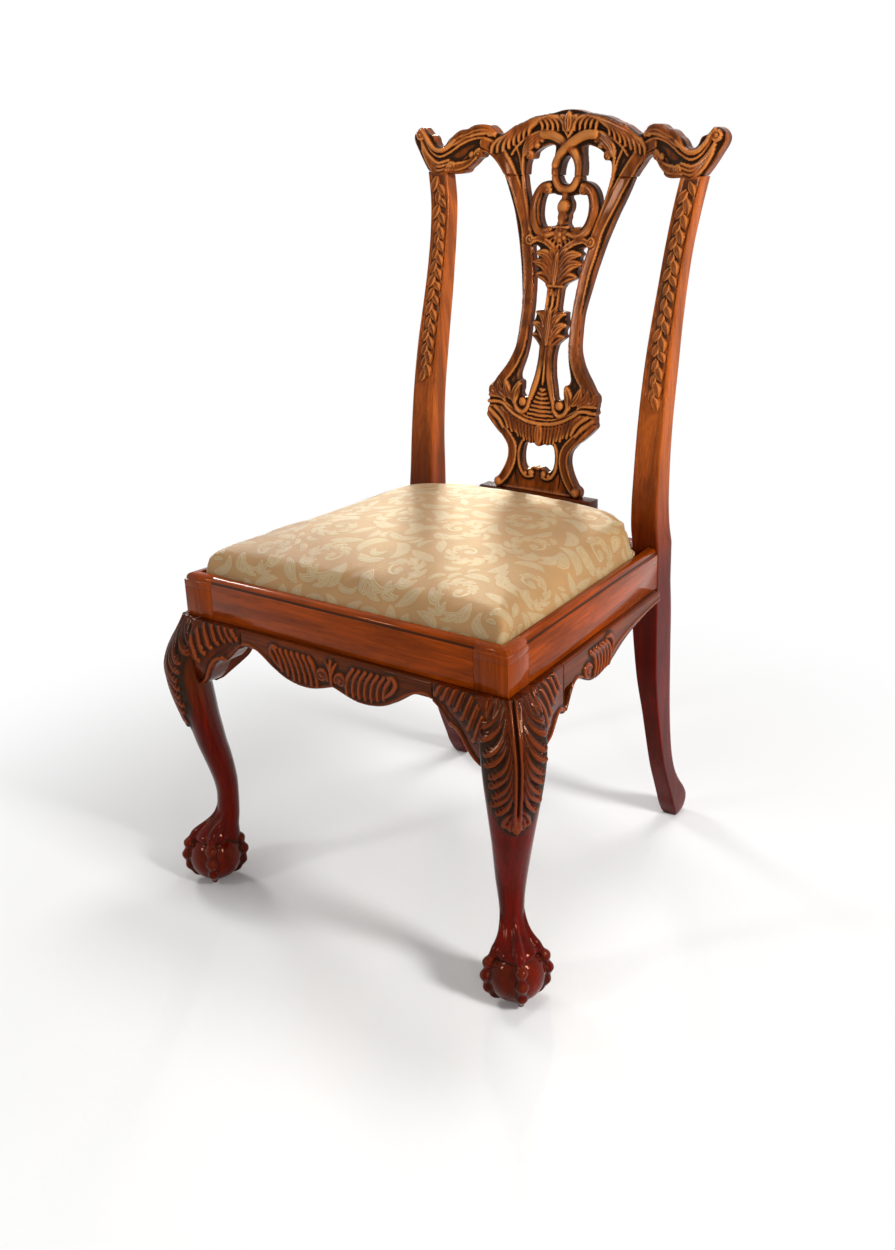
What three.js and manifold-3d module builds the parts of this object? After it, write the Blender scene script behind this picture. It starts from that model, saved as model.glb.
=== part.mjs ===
// A carved mahogany dining chair: a pierced splat under a serpentine crest rail with ears, raked back
// legs, cabriole front legs on ball-and-claw feet, shaped aprons and a drop-in upholstered seat.
// Millimetres. X runs across the chair, Y from front to back and Z up. Left and right are those of
// someone who looks at the chair from the front, so right is +X. Paired pieces are built for the right
// side and mirrored.
import * as THREE from "three";
import { TessellateModifier } from "three/addons/modifiers/TessellateModifier.js";
import { mergeVertices } from "three/addons/utils/BufferGeometryUtils.js";
import Module from "manifold-3d";

const wasm = await Module();
wasm.setup();

// Seat frame
const seatFrontWidth = 511; // across the outer faces of the side rails at the front
const seatRearWidth = 433; // across the same faces where they meet the back posts
const postFront = 414; // from the front rail's face to the posts' front faces
const railTop = 455;
const railHeight = 57;
const railThickness = 26;
const rearRailThickness = 38;
const railTopBead = 9; // height of the moulding along the top outer edge
const ledgeDrop = 18; // the slip seat's rebate, below the rail top
const lipWidth = 14; // what is left of the rail's top outside the rebate
const wellCorner = 9; // round of the rebate's corners, and its room in front of the posts
const wellShoulder = 46; // the rebate draws in towards the posts over this length
const stileWidth = 48; // square top of the front leg, between the rails

// Joinery
const fitGap = 0.3; // between faces that are glued or rest on each other
const tenonThickness = 10;
const tenonLength = 19;
const tenonShoulder = 6; // from the rail's edge to its tenon
const tenonSetback = 7; // from the rail's outer face to its tenon
const mortiseSpare = 1; // a mortise is this much deeper than its tenon
const overrun = 5; // cuts run past the faces they open

// Back
const chairHeight = 1013;
const backLean = 95; // how far the crest's top lies behind the foot of the back
const backBow = 26; // how far the splat lies behind the posts
const bowFlatHalf = 90; // half width over which the back is flat in plan
const bowEndInset = 6.5; // the bow has run out this far inside the back's corners
const bendStep = 50; // longest edge of a facet that is bent
const postWidth = 40;
const postDepth = 44;
const postTopInset = 27.5; // inner face of the post at its top, inside the back's corner
const postTopWidth = 33;
const postTopDepth = 24;
const postTenonWidth = 16;
const postTenonLength = 18;

// Splat, crest rail and shoe
const crestRise = 86; // from the splat's top to the top of the chair
const earLift = 4; // the ears' underside on the posts, above the splat's top
const earReach = 33.5; // the ears' ends, outside the back's corners
const splatHalfWidth = 90;
const splatThickness = 15;
const splatTenonWidth = 60;
const splatTenonLength = 24;
const strapTenonLength = 14;
const strapTenonWidth = 11;
const strapTenonCentre = 90;
const innerTenonThickness = 7;
const crestThickness = 22;
const shoeRise = 42; // top of the shoe above the rails
const shoeWidth = 190;
const shoeFront = 430; // front of the shoe's foot
const shoeTopInset = 6; // the shoe's hollow moulding draws its top in
const shoeRoll = 8; // height of the rounded top of the shoe

// Front legs
const kneeSpan = 40; // the unit of the leg's profile
const ballRadius = 36;
const ballHeight = 34; // the ball's centre above the floor
const footOutset = 1.5; // the ball's centre, outside the side rail's corner
const footSetback = 4; // the ball's centre, behind the front rail's face
const talonRadius = 7;
const talonSides = 6;

// Back feet
const footRake = 97; // how far the back foot's heel lies behind the post's front

// Aprons and knee blocks
const apronDrop = 54; // deepest point of the carved apron under the rail
const apronThickness = 24;
const apronProud = 8; // the apron stands proud of the rail above it
const frontBlockReach = 62; // how far a knee block runs along its apron from the leg
const sideBlockReach = 78;
const kneeBlockStart = 40; // where the block starts, from the chair's corner
const kneeProud = 20; // how far the knee block swells in front of the rail at the leg
const kneeBlockDrop = 78; // below the rail, at the leg

// Corner blocks and their screws
const cornerBlockLeg = 78; // along each rail
const cornerBlockHeight = 32;
const cornerBlockDrop = 3; // below the ledge that carries the seat
const screwHeadRadius = 4.5;
const screwHeadHeight = 3;
const screwRadius = 2.2;
const screwLength = 56;
const screwSides = 10;
const screwSpread = 15; // of the two screws in a block, about its middle
const screwSink = 1; // of the head below the block's face

// Slip seat
const seatClearance = 1.5; // round the slip seat in its rebate
const coverThickness = 1.5;
const slipFrameThickness = 16;
const slipFrameWidth = 52;
const seatRear = 428; // rear edge of the slip seat, in front of the shoe
const webWidth = 48;
const webThickness = 1.2;
const webCount = 3;
const webEndInset = 12;
const padHeight = 40; // crown of the padding above the webbing
const padEdgeHeight = 13; // padding at the slip seat's edge
const dustCoverThickness = 0.8;

const railBottom = railTop - railHeight;
const ledge = railTop - ledgeDrop;
const backOfSeat = postFront + postDepth;
const frontHalf = seatFrontWidth / 2;
const rearHalf = seatRearWidth / 2;
const splatFoot = railTop + shoeRise;
const splatTop = chairHeight - crestRise;
const crestHalfWidth = rearHalf + earReach;
const postTopHeight = splatTop + earLift - fitGap;
const postTopInner = rearHalf - postTopInset;
const bowEndHalf = rearHalf - bowEndInset;
const sideAngle = Math.atan2(postFront, rearHalf - frontHalf);

// Shapes are drawn as stretches: each is a list of points that a smooth curve runs through, and the
// next stretch starts where the last one ended, at a corner.
const unchanged = (point) => point;
const mapped = (points, map) => points.map(map).map(([x, z]) => new THREE.Vector2(x, z));

function outline(stretches, map = unchanged) {
  const shape = new THREE.Shape();
  let started = false;
  for (const points of stretches) {
    const [first, ...rest] = mapped(points, map);
    if (!started) shape.moveTo(first.x, first.y);
    else shape.lineTo(first.x, first.y);
    started = true;
    if (rest.length > 1) shape.splineThru(rest);
    else if (rest.length) shape.lineTo(rest[0].x, rest[0].y);
  }
  return shape;
}

// The right half is given, from the middle at the top round to the middle at the bottom.
function symmetricOutline(stretches, map) {
  const left = stretches.map((points) => points.map(([x, z]) => [-x, z]).reverse()).reverse();
  return outline([...stretches, ...left], map);
}

function polygon(points) {
  return new THREE.Shape(points.map(([x, y]) => new THREE.Vector2(x, y)));
}

// Solids
const clean = (geometry) => {
  const bare = geometry.clone();
  bare.deleteAttribute("normal");
  bare.deleteAttribute("uv");
  return mergeVertices(bare, 1e-4);
};

function toSolid(geometry) {
  const merged = clean(geometry);
  return new wasm.Manifold(
    new wasm.Mesh({
      numProp: 3,
      vertProperties: merged.attributes.position.array,
      triVerts: new Uint32Array(merged.index.array),
    }),
  );
}

function toGeometry(solid) {
  const mesh = solid.getMesh();
  const position = new Float32Array(mesh.numVert * 3);
  for (let i = 0; i < mesh.numVert; i++)
    position.set(mesh.vertProperties.subarray(i * mesh.numProp, i * mesh.numProp + 3), i * 3);
  const geometry = new THREE.BufferGeometry()
    .setAttribute("position", new THREE.BufferAttribute(position, 3))
    .setIndex(new THREE.BufferAttribute(mesh.triVerts, 1));
  geometry.computeVertexNormals();
  return geometry;
}

const join = (...solids) => solids.reduce((a, b) => a.add(b));
const cut = (solid, ...tools) => tools.reduce((a, b) => a.subtract(b), solid);

function box(x0, x1, y0, y1, z0, z1) {
  const geometry = new THREE.BoxGeometry(x1 - x0, y1 - y0, z1 - z0);
  return geometry.translate((x0 + x1) / 2, (y0 + y1) / 2, (z0 + z1) / 2);
}

// A plan drawn in X and Y, standing from z0 to z1.
function prism(shape, z0, z1, curveSegments = 6) {
  const geometry = new THREE.ExtrudeGeometry(shape, {
    depth: z1 - z0,
    bevelEnabled: false,
    curveSegments,
  });
  return geometry.translate(0, 0, z0);
}

// A front view drawn in X and Z, with its face at y0 and its back at y1.
function plate(shape, y0, y1, curveSegments = 3) {
  const geometry = new THREE.ExtrudeGeometry(shape, {
    depth: y1 - y0,
    bevelEnabled: false,
    curveSegments,
  });
  return geometry.rotateX(Math.PI / 2).translate(0, y1, 0);
}

// A section drawn in Y and Z, running from x0 to x1.
function moulding(shape, x0, x1, curveSegments = 4) {
  const geometry = new THREE.ExtrudeGeometry(shape, {
    depth: x1 - x0,
    bevelEnabled: false,
    curveSegments,
  });
  return geometry.rotateY(Math.PI / 2).rotateX(Math.PI / 2).translate(x0, 0, 0);
}

// Rings of points, each seen anticlockwise from the last ring's side, closed at both ends onto the
// ring's middle.
function loft(rings) {
  const count = rings[0].length;
  const positions = rings.flat(2);
  const indices = [];
  for (let r = 0; r + 1 < rings.length; r++)
    for (let i = 0; i < count; i++) {
      const a = r * count + i;
      const b = r * count + ((i + 1) % count);
      indices.push(a, b, b + count, a, b + count, a + count);
    }
  const last = (rings.length - 1) * count;
  const low = rings.length * count;
  const middle = (ring) => [0, 1, 2].map((axis) => ring.reduce((sum, point) => sum + point[axis], 0) / count);
  positions.push(...middle(rings[0]), ...middle(rings[rings.length - 1]));
  for (let i = 0; i < count; i++) {
    const next = (i + 1) % count;
    indices.push(low, next, i, low + 1, last + i, last + next);
  }
  const geometry = new THREE.BufferGeometry();
  geometry.setAttribute("position", new THREE.Float32BufferAttribute(positions, 3));
  geometry.setIndex(indices);
  return geometry;
}

// A smooth value read from rows of [place, value, value, ...]: column is the value wanted.
function smoothRow(rows, place, column = 1) {
  const last = rows.length - 1;
  if (place <= rows[0][0]) return rows[0][column];
  if (place >= rows[last][0]) return rows[last][column];
  const i = rows.findIndex((row, n) => n < last && place < rows[n + 1][0]);
  const slope = (n) => {
    const a = rows[Math.max(n - 1, 0)];
    const b = rows[Math.min(n + 1, last)];
    return (b[column] - a[column]) / (b[0] - a[0]);
  };
  const span = rows[i + 1][0] - rows[i][0];
  const t = (place - rows[i][0]) / span;
  const t2 = t * t;
  const t3 = t2 * t;
  return (
    (2 * t3 - 3 * t2 + 1) * rows[i][column] +
    (t3 - 2 * t2 + t) * span * slope(i) +
    (3 * t2 - 2 * t3) * rows[i + 1][column] +
    (t3 - t2) * span * slope(i + 1)
  );
}

// The back's surface: shares of the height above the seat frame, and of the lean.
const leanShares = [
  [0, 0],
  [0.081, 0.026],
  [0.161, 0.074],
  [0.296, 0.179],
  [0.439, 0.347],
  [0.586, 0.568],
  [0.708, 0.747],
  [0.774, 0.842],
  [0.869, 0.926],
  [0.977, 0.99],
  [1, 1],
];

const leanAt = (z) => backLean * smoothRow(leanShares, (z - railTop) / (chairHeight - railTop));
const postFrontAt = (z) => postFront + leanAt(z);

function bowAt(x) {
  const t = (bowEndHalf - Math.abs(x)) / (bowEndHalf - bowFlatHalf);
  const s = Math.min(1, Math.max(0, t));
  return backBow * s * s * (3 - 2 * s);
}

const bendRounds = 12;

// Bends a flat plate, whose face is at y = 0, onto the back's surface.
function bendToBack(plain) {
  const geometry = new TessellateModifier(bendStep, bendRounds).modify(plain);
  const position = geometry.attributes.position;
  for (let i = 0; i < position.count; i++) {
    const x = position.getX(i);
    const y = position.getY(i);
    const z = position.getZ(i);
    position.setY(i, y + postFrontAt(z) + bowAt(x));
  }
  return geometry;
}

// Rails. Their section is drawn from the outer face inward, with a moulded top edge.
const beadShares = [
  [0, 0],
  [0.22, 0.15],
  [0.22, 0.4],
  [0.5, 0.85],
  [1, 1],
];

function railSection(thickness) {
  const bead = beadShares.map(([y, z]) => [y * railTopBead, railTop - railTopBead + z * railTopBead]);
  return polygon([[0, railBottom], ...bead, [thickness, railTop], [thickness, railBottom]]);
}

// The side rail's frame: X along the rail from the chair's corner, -Y outward.
const sideFrame = new THREE.Matrix4().makeRotationZ(sideAngle).setPosition(frontHalf, 0, 0);
const onSide = (geometry) => geometry.clone().applyMatrix4(sideFrame);
const sideLength = Math.hypot(postFront, rearHalf - frontHalf);

const tenonLow = railBottom + tenonShoulder;
const tenonHigh = ledge - tenonShoulder;
const tenonBack = tenonSetback + tenonThickness;

// The right half of the hollow that the slip seat drops into, from the middle of its front edge round
// past the post to the middle of its rear edge.
const sideSlope = (rearHalf - frontHalf) / postFront;
const sideSecant = Math.hypot(1, sideSlope);
const innerSide = (y, inset) => frontHalf + sideSlope * y - inset * sideSecant;
const wellRear = seatRear + seatClearance;
const postInner = rearHalf - postWidth;

function wellPlan() {
  const front = lipWidth;
  const shoulder = postFront - wellShoulder;
  return [
    [0, front],
    [innerSide(front, lipWidth) - wellCorner, front],
    [innerSide(front, lipWidth), front + wellCorner],
    [innerSide(shoulder, lipWidth), shoulder],
    [innerSide(shoulder, lipWidth) - wellCorner, shoulder + wellShoulder / 2],
    [postInner + wellCorner / 2, postFront - wellCorner],
    [postInner - wellCorner / 2, postFront - wellCorner / 3],
    [postInner - wellCorner, postFront + wellCorner / 3],
    [postInner - wellCorner, wellRear],
    [0, wellRear],
  ];
}

// The same outline drawn in by a distance.
function drawnIn(points, distance) {
  const normal = (a, b) => new THREE.Vector2(a[1] - b[1], b[0] - a[0]).normalize();
  const last = points.length - 1;
  return points.map(([x, y], i) => {
    if (i === 0) return [x, y + distance];
    if (i === last) return [x, y - distance];
    const before = normal(points[i - 1], points[i]);
    const after = normal(points[i], points[i + 1]);
    const shift = before.clone().add(after).multiplyScalar(distance / (1 + before.dot(after)));
    return [x + shift.x, y + shift.y];
  });
}

const seatPlan = (inset) => drawnIn(wellPlan(), inset - lipWidth);

// The same outline with its long edges divided, so that it can be rounded.
function divided(points, longest) {
  return points.flatMap(([x, y], i) => {
    if (i === points.length - 1) return [[x, y]];
    const [nextX, nextY] = points[i + 1];
    const count = Math.ceil(Math.hypot(nextX - x, nextY - y) / longest);
    return Array.from({ length: count }, (_, n) => [x + ((nextX - x) * n) / count, y + ((nextY - y) * n) / count]);
  });
}

// Four-cornered plan inside the seat, for what lies well within its edge.
function innerPlan(inset, rear) {
  return [
    [0, inset],
    [innerSide(inset, inset), inset],
    [innerSide(rear, inset), rear],
    [0, rear],
  ];
}

function mirroredPlan(points) {
  const right = points.slice(1, -1);
  const left = right.map(([x, y]) => [-x, y]).reverse();
  return polygon([points[0], ...right, points[points.length - 1], ...left].filter(([x, y], i, all) =>
    i === 0 || x !== all[i - 1][0] || y !== all[i - 1][1]));
}

const seatWell = () => toSolid(prism(mirroredPlan(seatPlan(lipWidth)), ledge, railTop + overrun));

function frontRail() {
  const half = frontHalf - stileWidth - fitGap;
  const body = toSolid(moulding(railSection(railThickness), -half, half));
  const tenon = toSolid(box(-half - tenonLength, half + tenonLength, tenonSetback, tenonBack, tenonLow, tenonHigh));
  return cut(join(body, tenon), seatWell());
}

const frontMortise = () =>
  toSolid(
    box(
      frontHalf - stileWidth - overrun,
      frontHalf - stileWidth + tenonLength + mortiseSpare,
      tenonSetback - fitGap,
      tenonBack + fitGap,
      tenonLow - fitGap,
      tenonHigh + fitGap,
    ),
  );

const acrossY = (y0, y1) => toSolid(box(0, frontHalf + overrun, y0, y1, 0, chairHeight));

function sideTenon(grow, spare) {
  const bar = box(0, sideLength + stileWidth, tenonSetback - grow, tenonBack + grow, tenonLow - grow, tenonHigh + grow);
  return toSolid(onSide(bar)).intersect(
    acrossY(stileWidth - tenonLength - spare, postFront + tenonLength + spare),
  );
}

function sideRail() {
  const bar = toSolid(onSide(moulding(railSection(railThickness), -overrun, sideLength + overrun)));
  const body = bar.intersect(acrossY(stileWidth + fitGap, postFront - fitGap));
  return cut(join(body, sideTenon(0, 0)), seatWell());
}

const rearRailFront = backOfSeat - rearRailThickness;
const rearTenonFront = backOfSeat - tenonThickness - tenonSetback;
const rearRailHalf = rearHalf - postWidth - fitGap;
const shoeSeat = railTop - tenonSetback; // top of the rear rail, under the shoe

function rearRail() {
  const body = toSolid(box(-rearRailHalf, rearRailHalf, rearRailFront, backOfSeat, railBottom, shoeSeat));
  const tenon = toSolid(
    box(
      -rearRailHalf - tenonLength,
      rearRailHalf + tenonLength,
      rearTenonFront,
      rearTenonFront + tenonThickness,
      tenonLow,
      tenonHigh,
    ),
  );
  return cut(join(body, tenon), seatWell());
}

const rearMortise = () =>
  toSolid(
    box(
      rearHalf - postWidth - overrun,
      rearHalf - postWidth + tenonLength + mortiseSpare,
      rearTenonFront - fitGap,
      rearTenonFront + tenonThickness + fitGap,
      tenonLow - fitGap,
      tenonHigh + fitGap,
    ),
  );

// Front leg: rows of height share of the leg below the rail, then outer reach, inner reach and half
// width in shares of the knee's span along the corner's diagonal, then the section's squareness.
const legShares = [
  [0.113, 0.25, -0.85, 0.5, 2],
  [0.156, 0.2, -0.92, 0.48, 2],
  [0.201, 0.1, -0.95, 0.46, 2],
  [0.239, -0.08, -0.96, 0.44, 2],
  [0.276, -0.22, -0.98, 0.42, 2],
  [0.339, -0.25, -1, 0.41, 2],
  [0.377, -0.2, -1, 0.44, 2],
  [0.427, -0.08, -0.95, 0.5, 2],
  [0.477, 0.08, -0.88, 0.57, 2],
  [0.528, 0.22, -0.78, 0.62, 2],
  [0.578, 0.35, -0.7, 0.69, 2.1],
  [0.628, 0.5, -0.63, 0.75, 2.2],
  [0.678, 0.65, -0.58, 0.81, 2.2],
  [0.729, 0.8, -0.53, 0.87, 2.3],
  [0.779, 0.88, -0.48, 0.92, 2.4],
  [0.829, 0.9, -0.5, 0.96, 2.5],
  [0.867, 0.75, -0.6, 0.97, 2.7],
  [0.905, 0.55, -0.95, 0.95, 3],
  [0.942, 0.3, -1.3, 0.91, 3.5],
  [0.975, 0.12, -1.55, 0.87, 5],
  [1, 0.03, -1.65, 0.845, 8],
];
const legRingPoints = 16;
const diagonal = Math.SQRT1_2;

function legPoint(out, side, z) {
  const u = out * diagonal;
  const v = side * diagonal;
  return [frontHalf + footOutset + u + v, footSetback - u + v, z];
}

function legRing([height, out, inner, half, power], grow) {
  const middle = ((out + inner) / 2) * kneeSpan;
  const reach = ((out - inner) / 2) * kneeSpan + grow;
  const width = half * kneeSpan + grow;
  const diagonalReach = 2 ** (1 / 2 - 1 / power);
  return Array.from({ length: legRingPoints }, (_, i) => {
    const angle = ((i + 0.5) / legRingPoints) * 2 * Math.PI;
    const round = (value) => Math.sign(value) * Math.abs(value) ** (2 / power);
    const x = round(Math.cos(angle));
    const y = round(Math.sin(angle));
    const u = (diagonal * (x - y)) / diagonalReach;
    const v = (diagonal * (x + y)) / diagonalReach;
    return legPoint(middle + u * reach, v * width, height * railBottom);
  });
}

const legShaft = (grow) => toSolid(loft(legShares.map((row) => legRing(row, grow))));

// A talon runs down over the ball: rows of angle below the ball's top in degrees and thickness share.
const talonShares = [
  [12, 0.9],
  [32, 0.75],
  [48, 1.05],
  [64, 0.8],
  [80, 1.1],
  [98, 0.8],
  [114, 0.95],
  [132, 0.7],
  [147, 0.3],
];
const talonBearings = [0, 84, 180, 276]; // round the ball from the outer corner

function talon(bearing) {
  const turn = THREE.MathUtils.degToRad(bearing);
  const radial = new THREE.Vector3(Math.cos(turn), 0, Math.sin(turn));
  const sideways = new THREE.Vector3(-Math.sin(turn), 0, Math.cos(turn));
  const rings = talonShares.map(([degrees, share]) => {
    const down = THREE.MathUtils.degToRad(degrees);
    const outward = radial.clone().multiplyScalar(Math.sin(down)).add(new THREE.Vector3(0, Math.cos(down), 0));
    const thick = talonRadius * share;
    return Array.from({ length: talonSides }, (_, i) => {
      const angle = (i / talonSides) * 2 * Math.PI;
      const point = outward
        .clone()
        .multiplyScalar(ballRadius + thick * Math.cos(angle))
        .addScaledVector(sideways, -thick * Math.sin(angle));
      return legPoint(point.x, point.z, ballHeight + point.y);
    });
  });
  return toSolid(loft(rings));
}

const ballSides = 18;
const ballRings = 12;

function foot() {
  const ball = new THREE.SphereGeometry(ballRadius, ballSides, ballRings);
  const [x, y] = legPoint(0, 0, 0);
  const solid = toSolid(ball.rotateX(Math.PI / 2).translate(x, y, ballHeight));
  const reach = ballRadius + 2 * talonRadius;
  const aboveFloor = toSolid(box(x - reach, x + reach, y - reach, y + reach, 0, railBottom / 2));
  return join(solid, ...talonBearings.map(talon)).intersect(aboveFloor);
}

function stile() {
  const front = toSolid(moulding(railSection(stileWidth), frontHalf - stileWidth, frontHalf + overrun));
  const side = toSolid(onSide(moulding(railSection(stileWidth), -overrun, stileWidth + overrun)));
  const block = toSolid(
    box(frontHalf - stileWidth, frontHalf + overrun, -overrun, stileWidth, railBottom - fitGap, railTop + overrun),
  );
  return front.intersect(side).intersect(block);
}

function frontLeg() {
  const body = join(stile(), legShaft(0), foot());
  return cut(body, seatWell(), frontMortise(), sideTenon(fitGap, mortiseSpare));
}

// Back post: below the seat, rows of height share of the leg, front and back depth in shares of the
// rake behind the post's front, then inner and outer faces in shares of the post's width.
const rearLegShares = [
  [0, 0.93, 1.08, 0.68, 0.14],
  [0.012, 0.9, 1.16, 0.72, 0.1],
  [0.03, 0.86, 1.22, 0.74, 0.08],
  [0.063, 0.79, 1.25, 0.74, 0.07],
  [0.1, 0.73, 1.175, 0.74, 0.07],
  [0.15, 0.64, 1.01, 0.73, 0.08],
  [0.2, 0.555, 0.875, 0.73, 0.09],
  [0.251, 0.475, 0.794, 0.73, 0.1],
  [0.302, 0.41, 0.735, 0.73, 0.1],
  [0.377, 0.33, 0.68, 0.74, 0.1],
  [0.5, 0.216, 0.63, 0.78, 0.1],
  [0.628, 0.1, 0.577, 0.85, 0.06],
  [0.754, 0.05, 0.536, 0.93, 0.03],
  [0.9, 0.01, 0.495, 0.99, 0],
  [1, 0, 0.454, 1, 0],
];

// Above the seat: rows of height share from the rail's top to the post's top, depth share of the post's
// depth, then inner and outer faces in shares of the post's width, inward of the seat's rear half width.
const postShares = [
  [0, 1, 1, 0],
  [0.04, 0.96, 1.07, 0.07],
  [0.1, 0.9, 1.11, 0.12],
  [0.21, 0.78, 1.12, 0.13],
  [0.34, 0.71, 1.12, 0.14],
  [0.5, 0.68, 1.11, 0.16],
  [0.63, 0.65, 1.07, 0.21],
  [0.72, 0.63, 1.02, 0.22],
  [0.83, 0.6, 0.95, 0.17],
  [0.93, 0.56, 0.84, 0.02],
  [1, 0.545, 0.69, -0.14],
];
const chamferShare = 0.22; // of the post's width, on its back corners
const frontChamfer = 2;

function postRing(z, front, back, inner, outer) {
  const c = (outer - inner) * chamferShare;
  const f = frontChamfer;
  return [
    [inner + f, front, z],
    [outer - f, front, z],
    [outer, front + f, z],
    [outer, back - c, z],
    [outer - c, back, z],
    [inner + c, back, z],
    [inner, back - c, z],
    [inner, front + f, z],
  ];
}

function rearLegRings() {
  return rearLegShares.map(([height, front, back, inner, outer]) =>
    postRing(
      height * railBottom,
      postFront + front * footRake,
      postFront + back * footRake,
      rearHalf - inner * postWidth,
      rearHalf - outer * postWidth,
    ),
  );
}

function postRings() {
  return postShares.map(([height, depth, inner, outer]) => {
    const z = railTop + height * (postTopHeight - railTop);
    const front = postFrontAt(z);
    return postRing(z, front, front + depth * postDepth, rearHalf - inner * postWidth, rearHalf - outer * postWidth);
  });
}

const postTopFront = postFrontAt(postTopHeight);
const postTopMiddle = postTopInner + postTopWidth / 2;

function postTenon(grow, spare) {
  const x = postTopMiddle;
  const y = postTopFront + postTopDepth / 2;
  return toSolid(
    box(
      x - postTenonWidth / 2 - grow,
      x + postTenonWidth / 2 + grow,
      y - innerTenonThickness / 2 - grow,
      y + innerTenonThickness / 2 + grow,
      postTopHeight - overrun,
      postTopHeight + postTenonLength + spare,
    ),
  );
}

function backPost() {
  const body = toSolid(loft([...rearLegRings(), ...postRings()]));
  return cut(join(body, postTenon(0, 0)), sideTenon(fitGap, mortiseSpare), rearMortise());
}

// Crest rail: shares of its half width and of its height above the splat's top joint.
const crestEarShares = [
  [0.868, 0.616],
  [0.89, 0.63],
  [0.91, 0.69],
  [0.938, 0.735],
  [0.972, 0.71],
  [1, 0.615],
  [0.996, 0.51],
  [0.972, 0.395],
  [0.944, 0.267],
  [0.916, 0.15],
  [0.888, 0.047],
];
const crestTopShares = [
  [0, 1],
  [0.05, 0.99],
  [0.1, 0.953],
  [0.18, 0.907],
  [0.26, 0.837],
  [0.34, 0.733],
  [0.4, 0.663],
  [0.448, 0.628],
];
const crestShoulderShares = [
  [0.448, 0.628],
  [0.484, 0.65],
  [0.52, 0.698],
  [0.556, 0.68],
  [0.6, 0.698],
  [0.648, 0.686],
  [0.688, 0.64],
];
const crestDipShares = [
  [0.688, 0.64],
  [0.712, 0.616],
  [0.744, 0.58],
  [0.764, 0.523],
  [0.78, 0.453],
  [0.8, 0.43],
  [0.824, 0.442],
  [0.844, 0.5],
  [0.852, 0.58],
  [0.868, 0.616],
];
const crestUnderShares = [
  [0.756, 0.047],
  [0.736, 0.058],
  [0.704, 0.116],
  [0.672, 0.186],
  [0.64, 0.267],
  [0.616, 0.302],
  [0.596, 0.35],
  [0.576, 0.395],
  [0.552, 0.419],
  [0.524, 0.372],
  [0.496, 0.28],
  [0.468, 0.174],
  [0.444, 0.093],
  [0.422, 0],
];
const crestArchShares = [
  [0.28, 0],
  [0.278, 0.151],
  [0.268, 0.244],
  [0.248, 0.302],
  [0.22, 0.36],
  [0.188, 0.419],
  [0.152, 0.453],
  [0.112, 0.477],
  [0.088, 0.453],
];
const crestLoopShares = [
  [0.088, 0.453],
  [0.092, 0.326],
  [0.1, 0.151],
  [0.098, 0],
];
const crestEyeShares = [
  [0.048, 0],
  [0.046, 0.105],
  [0.036, 0.21],
  [0.016, 0.29],
  [0, 0.314],
];
const crestMap = ([x, z]) => [x * crestHalfWidth, splatTop + z * crestRise];

function crestRail() {
  const shape = symmetricOutline(
    [
      crestTopShares,
      crestShoulderShares,
      crestDipShares,
      crestEarShares,
      crestUnderShares,
      crestArchShares,
      crestLoopShares,
      crestEyeShares,
    ],
    crestMap,
  );
  const body = toSolid(bendToBack(plate(shape, 0, crestThickness, 2)));
  const mortises = [1, -1].flatMap((side) => [strapTenon(side, fitGap, mortiseSpare), mirrorX(postTenon(fitGap, mortiseSpare), side)]);
  return cut(body, ...mortises);
}

function mirrorX(solid, side) {
  if (side > 0) return solid;
  const geometry = toGeometry(solid);
  const position = geometry.attributes.position;
  for (let i = 0; i < position.count; i++) position.setX(i, -position.getX(i));
  const index = geometry.index.array;
  for (let i = 0; i < index.length; i += 3) [index[i + 1], index[i + 2]] = [index[i + 2], index[i + 1]];
  return toSolid(geometry);
}

// Splat: shares of its half width and of its height.
const splatBaseShares = [
  [0.794, 0],
  [0.794, 0.012],
  [0.75, 0.03],
  [0.656, 0.053],
  [0.578, 0.077],
  [0.539, 0.105],
  [0.545, 0.13],
  [0.6, 0.155],
  [0.678, 0.17],
  [0.8, 0.195],
  [0.9, 0.22],
  [0.95, 0.25],
];
const splatCollarShares = [
  [0.95, 0.25],
  [0.96, 0.265],
  [1, 0.28],
  [1, 0.298],
  [0.98, 0.318],
  [0.9, 0.342],
  [0.8, 0.356],
  [0.7, 0.385],
  [0.606, 0.426],
  [0.561, 0.472],
  [0.544, 0.519],
  [0.55, 0.565],
  [0.578, 0.612],
  [0.622, 0.658],
  [0.667, 0.705],
  [0.722, 0.751],
  [0.783, 0.798],
  [0.856, 0.844],
  [0.939, 0.891],
  [1.04, 0.937],
  [1.172, 1],
];
const splatStrandShares = [
  [0.778, 1],
  [0.735, 0.96],
  [0.68, 0.925],
  [0.635, 0.895],
];
const splatRingShares = [
  [0.635, 0.895],
  [0.622, 0.921],
  [0.589, 0.947],
  [0.511, 0.97],
  [0.422, 0.981],
  [0.333, 0.986],
  [0.278, 0.984],
];
const splatLoopShares = [
  [0.278, 0.984],
  [0.272, 1],
];
const splatEyeShares = [
  [0.133, 1],
  [0.12, 0.986],
  [0.08, 0.975],
  [0, 0.97],
];
const ringHoleShares = [
  [
    [0.06, 0.942],
    [0.07, 0.933],
    [0.117, 0.923],
    [0.133, 0.907],
    [0.117, 0.891],
    [0.078, 0.883],
    [0.105, 0.872],
    [0.067, 0.86],
    [0.09, 0.849],
  ],
  [
    [0.09, 0.849],
    [0.156, 0.837],
    [0.244, 0.835],
    [0.356, 0.844],
    [0.433, 0.863],
    [0.478, 0.891],
    [0.478, 0.916],
    [0.444, 0.94],
    [0.378, 0.951],
    [0.289, 0.953],
    [0.2, 0.944],
    [0.12, 0.941],
    [0.06, 0.942],
  ],
];
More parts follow.
